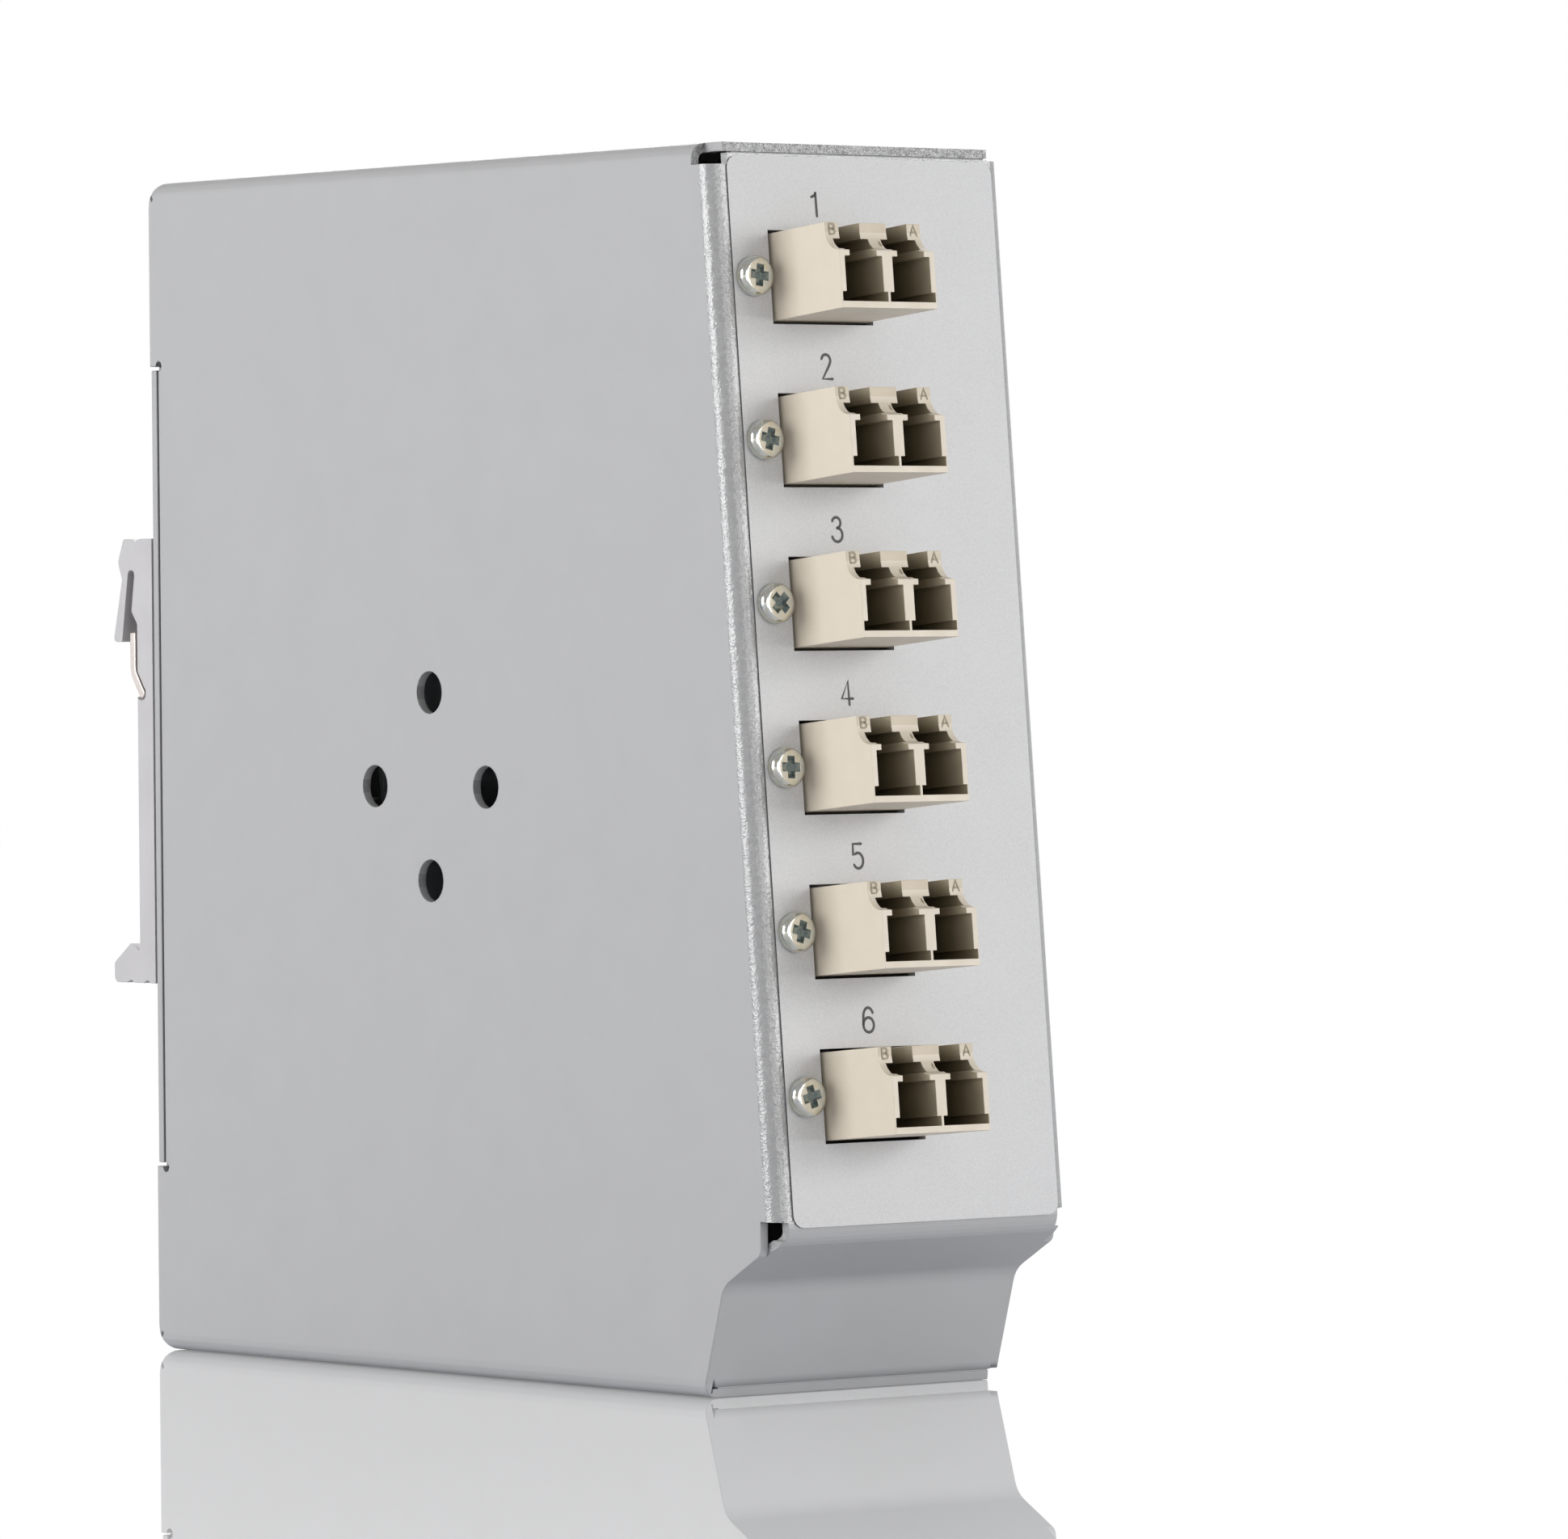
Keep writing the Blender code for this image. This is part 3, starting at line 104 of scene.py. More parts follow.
class Nodes:
    """A small helper that builds a node material step by step."""

    def __init__(self, name):
        self.material = bpy.data.materials.new(name)
        self.material.use_nodes = True
        self.tree = self.material.node_tree
        self.shader = self.tree.nodes["Principled BSDF"]
        self.coords = self.add("ShaderNodeTexCoord").outputs["Object"]

    def add(self, kind, **settings):
        node = self.tree.nodes.new(kind)
        for key, value in settings.items():
            setattr(node, key, value)
        return node

    def put(self, socket, value):
        if isinstance(value, bpy.types.NodeSocket):
            self.tree.links.new(value, socket)
        else:
            socket.default_value = value

    def noise(self, size, detail=2.0, roughness=0.5, stretch=None):
        """Noise whose blobs are about the given size, in metres; stretch scales the axes."""
        coords = self.coords
        if stretch:
            mapping = self.add("ShaderNodeMapping")
            self.put(mapping.inputs["Vector"], coords)
            mapping.inputs["Scale"].default_value = stretch
            coords = mapping.outputs["Vector"]
        node = self.add("ShaderNodeTexNoise")
        self.put(node.inputs["Vector"], coords)
        node.inputs["Scale"].default_value = 1.0 / size
        node.inputs["Detail"].default_value = detail
        node.inputs["Roughness"].default_value = roughness
        return node.outputs["Fac"]

    def ramp(self, value, stops):
        """Map a value through colour or grey stops of (position, colour)."""
        node = self.add("ShaderNodeValToRGB")
        self.put(node.inputs["Fac"], value)
        elements = node.color_ramp.elements
        while len(elements) < len(stops):
            elements.new(0.5)
        for element, (position, colour) in zip(elements, stops):
            element.position = position
            element.color = colour if len(colour) == 4 else (*colour, 1.0)
        return node.outputs["Color"]

    def span(self, value, low, high):
        """Map a value of about 0.3 to 0.7 onto low to high."""
        node = self.add("ShaderNodeMapRange")
        self.put(node.inputs["Value"], value)
        node.inputs["From Min"].default_value = 0.3
        node.inputs["From Max"].default_value = 0.7
        node.inputs["To Min"].default_value = low
        node.inputs["To Max"].default_value = high
        return node.outputs["Result"]

    def mix(self, factor, a, b):
        node = self.add("ShaderNodeMix", data_type="RGBA")
        self.put(node.inputs["Factor"], factor)
        self.put(node.inputs["A"], a)
        self.put(node.inputs["B"], b)
        return node.outputs["Result"]

    def bump(self, height, distance, strength=1.0, below=None):
        node = self.add("ShaderNodeBump")
        self.put(node.inputs["Height"], height)
        node.inputs["Distance"].default_value = distance
        node.inputs["Strength"].default_value = strength
        if below is not None:
            self.put(node.inputs["Normal"], below)
        return node.outputs["Normal"]

    def rounded(self, radius):
        """Normals that round every sharp edge a little."""
        node = self.add("ShaderNodeBevel", samples=4)
        node.inputs["Radius"].default_value = radius
        return node.outputs["Normal"]

    def finish(self, colour, roughness, normal=None, metallic=0.0, **more):
        inputs = self.shader.inputs
        self.put(inputs["Base Color"], colour)
        self.put(inputs["Roughness"], roughness)
        inputs["Metallic"].default_value = metallic
        if normal is not None:
            self.put(inputs["Normal"], normal)
        for name, value in more.items():
            self.put(inputs[name.replace("_", " ")], value)
        return self.material


def srgb(*values):
    """Screen values of 0 to 255 as a linear colour."""
    if len(values) == 1:
        values = values * 3
    linear = []
    for value in values:
        v = value / 255
        linear.append(v / 12.92 if v <= 0.04045 else ((v + 0.055) / 1.055) ** 2.4)
    return (*linear, 1.0)


def powder_coat():
    """Satin grey powder coat on the flats: a faint mottle, a very fine grain and round edges."""
    n = Nodes("grey_powder_coat")
    mottle = n.noise(6 * MM, 3.0)
    grain = n.noise(0.35 * MM, 2.0)
    colour = n.mix(n.span(mottle, 0.0, 1.0), srgb(176), srgb(178, 178, 179))
    normal = n.bump(grain, 0.004 * MM, 0.6, n.rounded(0.22 * MM))
    return n.finish(colour, n.span(grain, 0.34, 0.42), normal)


def shaded_edge_coat(name, size, distance, dark, light, rough, stretch=None):
    """The same coat on a bend or a sheet edge, glossier and rough as orange peel; darker as painted shade,
    with a mottle of painted highlight and shade.
    """
    n = Nodes(name)
    peel = n.noise(size, 3.0, 0.6, stretch=stretch)
    fine = n.noise(size * 0.4, 1.0, stretch=stretch)
    colour = n.mix(n.span(peel, 0.0, 1.0), srgb(dark), srgb(light))
    normal = n.bump(fine, distance * 0.4, 0.8, n.bump(peel, distance, 1.0))
    return n.finish(colour, n.span(fine, rough - 0.04, rough + 0.04), normal, Specular_IOR_Level=1.0)


def label_foil():
    """Matt silver foil with a very fine grain."""
    n = Nodes("silver_foil")
    grain = n.noise(0.22 * MM, 2.0)
    cloud = n.noise(9 * MM, 2.0)
    speck = n.mix(n.span(grain, 0.0, 1.0), srgb(199), srgb(214))
    colour = n.mix(n.span(cloud, 0.0, 0.25), speck, srgb(216))
    return n.finish(colour, n.span(grain, 0.5, 0.66), n.bump(grain, 0.015 * MM, 0.7), metallic=0.05)


def beige_plastic(name, light, deep):
    """Moulded beige plastic: near smooth, with a slight flow mottle."""
    n = Nodes(name)
    flow = n.noise(3 * MM, 3.0)
    fine = n.noise(0.2 * MM, 2.0)
    colour = n.mix(n.span(flow, 0.0, 1.0), srgb(*light), srgb(*deep))
    normal = n.bump(fine, 0.004 * MM, 0.5, n.rounded(0.08 * MM))
    return n.finish(colour, n.span(flow, 0.36, 0.46), normal)


def zinc():
    """Bright zinc with a faint straw and green tint."""
    n = Nodes("zinc_plate")
    tint = n.noise(0.9 * MM, 3.0)
    fine = n.noise(0.1 * MM, 2.0)
    colour = n.ramp(tint, [(0.3, srgb(206, 214, 214)[:3]), (0.5, srgb(224, 224, 218)[:3]),
                           (0.62, srgb(220, 217, 202)[:3]), (0.74, srgb(204, 216, 212)[:3])])
    normal = n.bump(fine, 0.006 * MM, 0.6, n.rounded(0.06 * MM))
    return n.finish(colour, n.span(fine, 0.12, 0.22), normal, metallic=1.0)


def clip_paint():
    """Pale satin grey of the rail clip, with faint drawing lines along its length."""
    n = Nodes("clip_grey")
    lines = n.noise(0.25 * MM, 2.0, stretch=(0.02, 1.0, 1.0))
    cloud = n.noise(5 * MM, 2.0)
    colour = n.mix(n.span(cloud, 0.0, 1.0), srgb(191, 189, 190), srgb(196, 194, 195))
    normal = n.bump(lines, 0.008 * MM, 0.5, n.rounded(0.12 * MM))
    return n.finish(colour, n.span(lines, 0.40, 0.52), normal, metallic=0.15)


def strip_steel():
    """Bright, slightly warm strip steel of the spring."""
    n = Nodes("spring_strip")
    lines = n.noise(0.15 * MM, 2.0, stretch=(0.02, 1.0, 1.0))
    colour = n.mix(n.span(lines, 0.0, 1.0), srgb(220, 210, 205), srgb(232, 224, 218))
    return n.finish(colour, n.span(lines, 0.3, 0.42), n.bump(lines, 0.004 * MM, 0.5, n.rounded(0.1 * MM)),
                    metallic=0.9)


def moulded(name, colour_a, colour_b, roughness, **more):
    """A plain moulded plastic with a slight mottle and a fine skin."""
    n = Nodes(name)
    mottle = n.noise(2.5 * MM, 3.0)
    fine = n.noise(0.25 * MM, 2.0)
    colour = n.mix(n.span(mottle, 0.0, 1.0), colour_a, colour_b)
    normal = n.bump(fine, 0.008 * MM, 0.5, n.rounded(0.12 * MM))
    return n.finish(colour, n.span(mottle, roughness - 0.05, roughness + 0.05), normal, **more)


def shaded_port_plastic():
    """The couplers' ports: the same plastic with painted shade, darker the deeper it lies."""
    n = Nodes("beige_port_painted_shade")
    flow = n.noise(3 * MM, 3.0)
    parts = n.add("ShaderNodeSeparateXYZ")
    n.put(parts.inputs[0], n.coords)
    depth = n.add("ShaderNodeMapRange")
    n.put(depth.inputs["Value"], parts.outputs["Y"])
    depth.inputs["From Min"].default_value = PORT_MOUTH_Y
    depth.inputs["From Max"].default_value = -5.5 * MM
    # Painted shade: the colour darkens from the port's mouth inwards.
    deep = n.ramp(depth.outputs["Result"], [(0.0, srgb(206, 192, 166)[:3]), (0.18, srgb(180, 168, 144)[:3]),
                                            (0.6, srgb(132, 120, 96)[:3]), (1.0, srgb(98, 88, 66)[:3])])
    colour = n.mix(n.span(flow, 0.0, 0.12), deep, srgb(60, 52, 38))
    return n.finish(colour, n.span(flow, 0.42, 0.52), n.rounded(0.06 * MM))


def zinc_recess_painted_shade():
    """Zinc in the recesses of the screws, painted darker as shade, bluish to straw."""
    n = Nodes("zinc_recess_painted_shade")
    tint = n.noise(0.5 * MM, 2.0)
    colour = n.ramp(tint, [(0.35, srgb(118, 134, 138)[:3]), (0.5, srgb(138, 148, 144)[:3]),
                           (0.65, srgb(158, 160, 144)[:3])])
    return n.finish(colour, n.span(tint, 0.3, 0.45), n.bump(tint, 0.01 * MM, 0.4), metallic=0.55)


def print_ink():
    """Thin dark print on the label."""
    n = Nodes("print_ink")
    grain = n.noise(0.08 * MM, 2.0)
    return n.finish(n.mix(n.span(grain, 0.0, 1.0), srgb(48), srgb(58)), n.span(grain, 0.45, 0.6))


def shaded_label_edge():
    """The label's cut edge, painted dark grey as the shade line along its edge."""
    n = Nodes("label_edge_painted_shade")
    grain = n.noise(0.3 * MM, 2.0, stretch=(1.0, 1.0, 0.2))
    return n.finish(n.mix(n.span(grain, 0.0, 1.0), srgb(70), srgb(108)), n.span(grain, 0.5, 0.7))


COAT = powder_coat()
# Darker copies of the coat for the bends, the strips and the cut edges: painted shade, with painted grains of
# highlight along the peel.
BEND_COAT_SHADE = shaded_edge_coat("grey_bend_coat_painted_shade", 0.48 * MM, 0.085 * MM, 156, 168, 0.09)
RIM_COAT_SHADE = shaded_edge_coat("grey_rim_coat_painted_shade", 0.40 * MM, 0.15 * MM, 98, 162, 0.10, (1.0, 1.0, 0.7))
FOIL = label_foil()
# The label's edge painted dark as shade.
LABEL_EDGE_SHADE = shaded_label_edge()
PRINT = print_ink()
BEIGE = beige_plastic("beige_plastic", (219, 208, 190), (215, 204, 185))
# A darker copy of the beige for the brow and the lower lip: painted shade.
BEIGE_FACE_SHADE = beige_plastic("beige_face_painted_shade", (204, 191, 168), (198, 184, 160))
# Port beige with painted shade that deepens inwards.
BEIGE_PORT_SHADE = shaded_port_plastic()
ZINC = zinc()
# Darker zinc in the screws' recesses: painted shade.
ZINC_RECESS_SHADE = zinc_recess_painted_shade()
CLIP = clip_paint()
STRIP = strip_steel()
TRAY = moulded("black_tray", srgb(34), srgb(40), 0.5)
LID = moulded("clear_lid", srgb(225, 230, 232), srgb(215, 222, 226), 0.12, Transmission_Weight=0.85,
              IOR=1.49)
HOLDER = moulded("white_holder", srgb(222, 222, 218), srgb(214, 214, 209), 0.5)
SHRINK = moulded("shrink_tube", srgb(226, 228, 228), srgb(214, 217, 218), 0.25, Transmission_Weight=0.4,
                 IOR=1.45)

BY_SLOT = {
    "powder_coat": COAT, "label_foil": FOIL, "beige_plastic": BEIGE, "zinc_steel": ZINC, "clip_grey": CLIP,
    "spring_steel": STRIP, "tray_plastic": TRAY, "clear_plastic": LID, "holder_plastic": HOLDER,
    "splice_shrink": SHRINK,
}
for part in frame["record"]["subparts"]:
    node = frame["nodes"][part["node"]]
    node.data.materials.clear()
    node.data.materials.append(BY_SLOT[part["material_slot"]])


# Building blocks of the detailed pieces

def panel_frame():
    """The front panel's own frame: origin at its top edge, Y into the box, Z up the panel."""
    return Matrix.Translation((0.0, FRONT_Y, BOX_HEIGHT)) @ Matrix.Rotation(-PANEL_LEAN, 4, "X")


def coupler_frame(index):
    return panel_frame() @ Matrix.Translation((COUPLER_X, 0.0, -COUPLER_FIRST - index * COUPLER_PITCH))


def cad_copy(node, into=None):
    """A copy of a solid's mesh, welded and with whole flat faces, in the shared or another frame."""
    bm = bmesh.new()
    bm.from_mesh(frame["nodes"][node].data)
    if into is not None:
        bmesh.ops.transform(bm, matrix=into.inverted(), verts=bm.verts)
    bmesh.ops.remove_doubles(bm, verts=bm.verts, dist=0.002 * MM)
    bmesh.ops.dissolve_limit(bm, angle_limit=math.radians(0.3), verts=bm.verts, edges=bm.edges)
    return bm


def soften(bm, width, angle=30, segments=2):
    """Round every edge that is sharper than the angle."""
    sharp = [e for e in bm.edges if len(e.link_faces) == 2 and e.calc_face_angle(0.0) > math.radians(angle)]
    bmesh.ops.bevel(bm, geom=sharp, offset=width, segments=segments, profile=0.5, affect="EDGES",
                    clamp_overlap=True)


def new_mesh(name, bm, materials):
    mesh = bpy.data.meshes.new(name)
    bm.to_mesh(mesh)
    bm.free()
    for material in materials:
        mesh.materials.append(material)
    for polygon in mesh.polygons:
        polygon.use_smooth = True
    mesh.set_sharp_from_angle(angle=math.radians(38))
    return mesh


def put_piece(name, mesh, nodes=(), place=None, body="box"):
    """Show a mesh on a body, in place of the solids that it stands for."""
    obj = bpy.data.objects.new(name, mesh)
    bpy.context.scene.collection.objects.link(obj)
    if place is not None:
        obj.matrix_world = place
    obj.modifiers.new("even_normals", "WEIGHTED_NORMAL").keep_sharp = True
    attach(obj, body)
    if nodes:
        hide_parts(*nodes)
    return obj


def add_box(bm, low, high):
    """Add a box between two corners."""
    centre = (Vector(low) + Vector(high)) / 2
    size = Vector(high) - Vector(low)
    matrix = Matrix.Translation(centre) @ Matrix.Diagonal((*size, 1.0))
    bmesh.ops.create_cube(bm, size=1.0, matrix=matrix)


def lathe(bm, profile, steps):
    """Turn (radius, height) points about Z; the ends close on the axis."""
    rings = []
    for radius, height in profile:
        if radius < 1e-7:
            rings.append([bm.verts.new((0.0, 0.0, height))])
        else:
            rings.append([bm.verts.new((radius * math.cos(2 * math.pi * i / steps),
                                        radius * math.sin(2 * math.pi * i / steps), height))
                          for i in range(steps)])
    for a, b in zip(rings, rings[1:]):
        for i in range(steps):
            j = (i + 1) % steps
            corners = [a[i % len(a)], a[j % len(a)], b[j % len(b)], b[i % len(b)]]
            bm.faces.new(list(dict.fromkeys(corners)))
    bmesh.ops.recalc_face_normals(bm, faces=bm.faces)


def carved(body_mesh, cutter_meshes):
    """A mesh with others cut out of it."""
    obj = bpy.data.objects.new("carving", body_mesh)
    bpy.context.scene.collection.objects.link(obj)
    cutters = []
    for mesh in cutter_meshes:
        cutter = bpy.data.objects.new("cutter", mesh)
        bpy.context.scene.collection.objects.link(cutter)
        cutters.append(cutter)
        modifier = obj.modifiers.new("carve", "BOOLEAN")
        modifier.operation = "DIFFERENCE"
        modifier.solver = "EXACT"
        modifier.object = cutter
    bpy.context.view_layer.update()
    result = bmesh.new()
    result.from_mesh(obj.evaluated_get(bpy.context.evaluated_depsgraph_get()).to_mesh())
    for used in [obj] + cutters:
        bpy.data.objects.remove(used)
    return result


# Strokes for numerals and letters, as points in units of their height

def bow(cx, cy, rx, ry, start, end, steps=10):
    """Points along part of an ellipse, angles in degrees."""
    points = []
    for i in range(steps + 1):
        a = math.radians(start + (end - start) * i / steps)
        points.append((cx + rx * math.cos(a), cy + ry * math.sin(a)))
    return points


STROKES = {
    "1": [[(0.02, 0.0), (0.0, 1.0), (-0.06, 0.85), (-0.2, 0.79)]],
    "2": [bow(0.0, 0.76, 0.21, 0.24, 168, -20) + [(0.12, 0.52), (-0.2, 0.0), (0.28, 0.0)]],
    "3": [bow(0.0, 0.78, 0.2, 0.22, 165, -60) + [(0.02, 0.56)],
          [(0.02, 0.56)] + bow(0.01, 0.29, 0.25, 0.29, 60, -165)],
    "4": [[(0.08, 0.0), (0.06, 1.0), (-0.27, 0.26), (0.27, 0.26)]],
    "5": [[(0.2, 1.0), (-0.2, 1.0), (-0.21, 0.54)] + bow(0.01, 0.32, 0.24, 0.32, 120, -150)],
    "6": [bow(0.02, 0.62, 0.24, 0.38, 25, 180) + bow(0.01, 0.3, 0.25, 0.3, 180, 540, 18)],
    "A": [[(-0.36, 0.0), (0.0, 1.0), (0.36, 0.0)], [(-0.22, 0.34), (0.22, 0.34)]],
    "B": [[(-0.3, 0.0), (-0.3, 1.0)] + bow(0.02, 0.76, 0.26, 0.24, 90, -90, 6) + [(-0.28, 0.52)],
          [(0.0, 0.52)] + bow(0.04, 0.26, 0.3, 0.26, 90, -90, 6) + [(-0.3, 0.0)]],
    "tick": [[(0.0, 0.0), (0.0, 1.0)]],
}


def draw_strokes(bm, key, place, height, width, rise, index=0):
    """Lay a sign as raised ribbons with round ends on the XZ plane of a frame, standing out along -Y."""
    for path in STROKES[key]:
        points = [Vector((x * height * 1.08, y * height)) for x, y in path]
        left, right = [], []
        for i, p in enumerate(points):
            ahead = (points[min(i + 1, len(points) - 1)] - points[max(i - 1, 0)]).normalized()
            out = Vector((-ahead.y, ahead.x)) * width / 2
            left.append(p + out)
            right.append(p - out)
        first = (points[0] - points[1]).normalized() * width / 2
        last = (points[-1] - points[-2]).normalized() * width / 2
        outline = left + [points[-1] + last] + right[::-1] + [points[0] + first]
        top = [bm.verts.new(place @ Vector((p.x, -rise, p.y))) for p in outline]
        low = [bm.verts.new(place @ Vector((p.x, 0.0, p.y))) for p in outline]
        count = len(points)
        size = len(outline)
        made = [bm.faces.new((top[i], top[i + 1], top[size - 3 - i], top[size - 2 - i]))
                for i in range(count - 1)]
        made.append(bm.faces.new((top[count - 1], top[count], top[count + 1])))
        made.append(bm.faces.new((top[size - 1], top[0], top[size - 2])))
        made += [bm.faces.new((top[i], low[i], low[(i + 1) % size], top[(i + 1) % size]))
                 for i in range(size)]
        for face in made:
            face.material_index = index
    bmesh.ops.recalc_face_normals(bm, faces=bm.faces)


# Folded body: the solid's own sheet, with wider bends and its joints closed by the coat

def cut_level(bm, level):
    """Add edges where a level plane crosses the sheet."""
    bmesh.ops.bisect_plane(bm, geom=bm.verts[:] + bm.edges[:] + bm.faces[:], plane_co=(0.0, 0.0, level),
                           plane_no=(0.0, 0.0, 1.0))


def near(value, target, reach=0.01 * MM):
    return abs(value - target) < reach


def close_chin(bm):
    """Widen the chin plate to the side walls, but for a slit at its ends, and cut its lower left corner."""
    for level in (SLIT_TOP, SLIT_FOOT):
        cut_level(bm, level)
    for vert in bm.verts:
        side = math.copysign(1.0, vert.co.x)
        if near(abs(vert.co.x), CHIN_END_X) and vert.co.y < -47.0 * MM:
            if SLIT_FOOT - 0.01 * MM < vert.co.z < SLIT_TOP + 0.01 * MM:
                vert.co.x = side * (WALL_X + 0.002 * MM)
            elif near(vert.co.z, CHIN_TOE[1] * MM):
                vert.co.x += 0.3 * MM if side < 0 else 0.15 * MM


def round_knee(bm):
    """Give the bend in the middle of the chin a wider radius, on the plate and on both walls."""
    rings = [(-52.654, 11.491), (-52.714, 11.633), (-52.799, 11.76), (-52.907, 11.869), (-53.034, 11.956)]
    corner = Vector(CHIN_KNEE) * MM
    low = corner + (Vector(CHIN_TOE) * MM - corner).normalized() * KNEE_REACH
    high = corner + (Vector(CHIN_CORNER) * MM - corner).normalized() * KNEE_REACH
    for index, (y, z) in enumerate(rings):
        t = index / 4
        spot = low * (1 - t) ** 2 + corner * 2 * t * (1 - t) + high * t ** 2
        for vert in bm.verts:
            if near(vert.co.y, y * MM, 0.004 * MM) and near(vert.co.z, z * MM, 0.004 * MM):
                vert.co.yz = spot


def round_brow(bm):
    """Give the bend above the chin a wider radius, by drawing its outer side onto one smooth curve."""
    corner = Vector(CHIN_BROW) * MM
    high = corner + Vector((PANEL_SLOPE, 1.0)).normalized() * BROW_REACH
    low = corner + Vector((BROW_SLOPE, -1.0)).normalized() * BROW_REACH
    curve = [high * (1 - t) ** 2 + corner * 2 * t * (1 - t) + low * t ** 2
             for t in [i / 12 for i in range(13)]]
    for spot in curve[::2]:
        cut_level(bm, spot.y)
    for vert in bm.verts:
        for above, below in zip(curve, curve[1:]):
            if below.y <= vert.co.z <= above.y and vert.co.y < -60.6 * MM and abs(vert.co.x) < 18.5 * MM:
                part = (above.y - vert.co.z) / (above.y - below.y)
                on_panel = high.x + (vert.co.z - high.y) * PANEL_SLOPE
                on_brow = corner.x + (corner.y - vert.co.z) * BROW_SLOPE
                if vert.co.y < max(on_panel, on_brow) + 0.5 * MM:
                    vert.co.y = above.x + (below.x - above.x) * part
                break


def round_corners(bm):
    """Round the walls' corners at the top of the chin, the far one more."""
    for side, width in ((-1, 0.5 * MM), (1, 2.5 * MM)):
        edges = [e for e in bm.edges
                 if all(near(v.co.y, CHIN_CORNER[0] * MM) and near(v.co.z, CHIN_CORNER[1] * MM)
                        and v.co.x * side > 18.4 * MM for v in e.verts)]
        bmesh.ops.bevel(bm, geom=edges, offset=width, segments=4, profile=0.5, affect="EDGES",
                        clamp_overlap=True)


def coat_kind(face):
    """0 for flats, 1 for the front bends and strips, 2 for the sheet's cut edges at the front; 1 and 2 take
    the darker coats with painted shade.
    """
    middle, normal = face.calc_center_median(), face.normal
    if normal.y < -0.9:
        if middle.z > BOX_HEIGHT - 0.98 * MM or near(middle.y, CUT_EDGE_Y):
            return 2
        return 1 if middle.z > STRIP_FOOT else 0
    if middle.z > STRIP_FOOT and middle.y < -49.5 * MM:
        return 1 if normal.y < -0.1 and abs(normal.x) > 0.1 and abs(normal.z) < 0.3 else 0
    if middle.z < 1.0 * MM and middle.y < CUT_EDGE_Y and normal.y < -0.7:
        return 2
    return 1 if middle.z > 16.0 * MM and middle.y < -59.0 * MM and normal.x < -0.3 else 0


def build_body():
    bm = cad_copy("body_shell")
    close_chin(bm)
    round_knee(bm)
    round_brow(bm)
    round_corners(bm)
    # Bends, strips and cut edges take the darker coats with painted shade.
    for face in bm.faces:
        face.material_index = coat_kind(face)
    put_piece("folded_body", new_mesh("folded_body", bm, [COAT, BEND_COAT_SHADE, RIM_COAT_SHADE]), ["body_shell"])
    # Strips of coat behind the joints along the top, the chin's foot and the back flanges
    seams = bmesh.new()
    add_box(seams, (-16.4 * MM, FRONT_Y + 0.10 * MM, BOX_HEIGHT - 1.16 * MM),
            (17.2 * MM, FRONT_Y + 0.9 * MM, BOX_HEIGHT - 0.96 * MM))
    add_box(seams, (-17.7 * MM, -49.32 * MM, 0.93 * MM), (18.3 * MM, -48.6 * MM, 1.14 * MM))
    for level in (20.6 * MM, 109.4 * MM):
        add_box(seams, (-17.6 * MM, 50.95 * MM, level - 0.19 * MM), (17.6 * MM, 51.5 * MM, level + 0.19 * MM))
    for foot, head in ((1.2 * MM, 20.3 * MM), (109.7 * MM, 128.8 * MM)):
        add_box(seams, (17.4 * MM, 50.2 * MM, foot), (18.6 * MM, 50.7 * MM, head))
    put_piece("seam_coat", new_mesh("seam_coat", seams, [COAT]))


# Label with its numerals

def build_label():
    bm = cad_copy("front_label", panel_frame())
    for vert in bm.verts:
        vert.co.y = -0.01 * MM if vert.co.y > -0.45 * MM else -LABEL_FRONT
    # The label's side faces take the dark edge material with painted shade.
    for face in bm.faces:
        face.material_index = 0 if abs(face.normal.y) > 0.5 else 1
    put_piece("foil_label", new_mesh("foil_label", bm, [FOIL, LABEL_EDGE_SHADE]), ["front_label"],
              panel_frame())
    signs = bmesh.new()
    for index in range(6):
        down = 6.3 * MM + index * COUPLER_PITCH
        place = Matrix.Translation((COUPLER_X, -LABEL_FRONT, -down - 1.27 * MM))
        draw_strokes(signs, str(index + 1), place, 2.56 * MM, 0.31 * MM, 0.012 * MM)
    put_piece("printed_numerals", new_mesh("printed_numerals", signs, [PRINT]), (),
              panel_frame())


# Couplers

def build_couplers():
    bm = cad_copy("coupler_1", coupler_frame(0))
    soften(bm, 0.09 * MM, 32)
    for face in bm.faces:
        middle = face.calc_center_median()
        # Faces inside the ports take the port beige with painted shade.
        in_shaded_port = abs(middle.x) < 6.15 * MM and abs(middle.z) < 4.4 * MM
        in_shaded_port = in_shaded_port and PORT_MOUTH_Y + 0.12 * MM < middle.y < PORT_END_Y
        leaning = abs(face.normal.y) > 0.05 and face.normal.z > 0.05
        # The brow and the lower lip take the darker beige with painted shade.
        shaded_brow = abs(middle.y - BROW_Y) < 0.03 * MM and face.normal.y < -0.9
        shaded_lip = middle.z < -4.0 * MM and face.normal.y < -0.9
        face.material_index = 2 if shaded_brow or shaded_lip else 1 if in_shaded_port and not leaning else 0
    # The letters and the tick take the port beige, which paints them darker as shade.
    for key, x in (("B", -5.38), ("A", 5.36)):
        place = Matrix.Translation((x * MM, BROW_Y + 0.01 * MM, 3.3 * MM))
        draw_strokes(bm, key, place, 1.1 * MM, 0.2 * MM, 0.07 * MM, 1)
    tick = Matrix.Translation((0.5 * MM, -9.88 * MM, 2.12 * MM)) @ Matrix.Rotation(math.radians(-40), 4, "X")
    draw_strokes(bm, "tick", tick, 0.7 * MM, 0.2 * MM, 0.07 * MM, 1)
    mesh = new_mesh("duplex_coupler", bm, [BEIGE, BEIGE_PORT_SHADE, BEIGE_FACE_SHADE])
    for index in range(6):
        put_piece(f"duplex_coupler_{index + 1}", mesh, [f"coupler_{index + 1}"],
                  coupler_frame(index))


# Screws with cross recesses

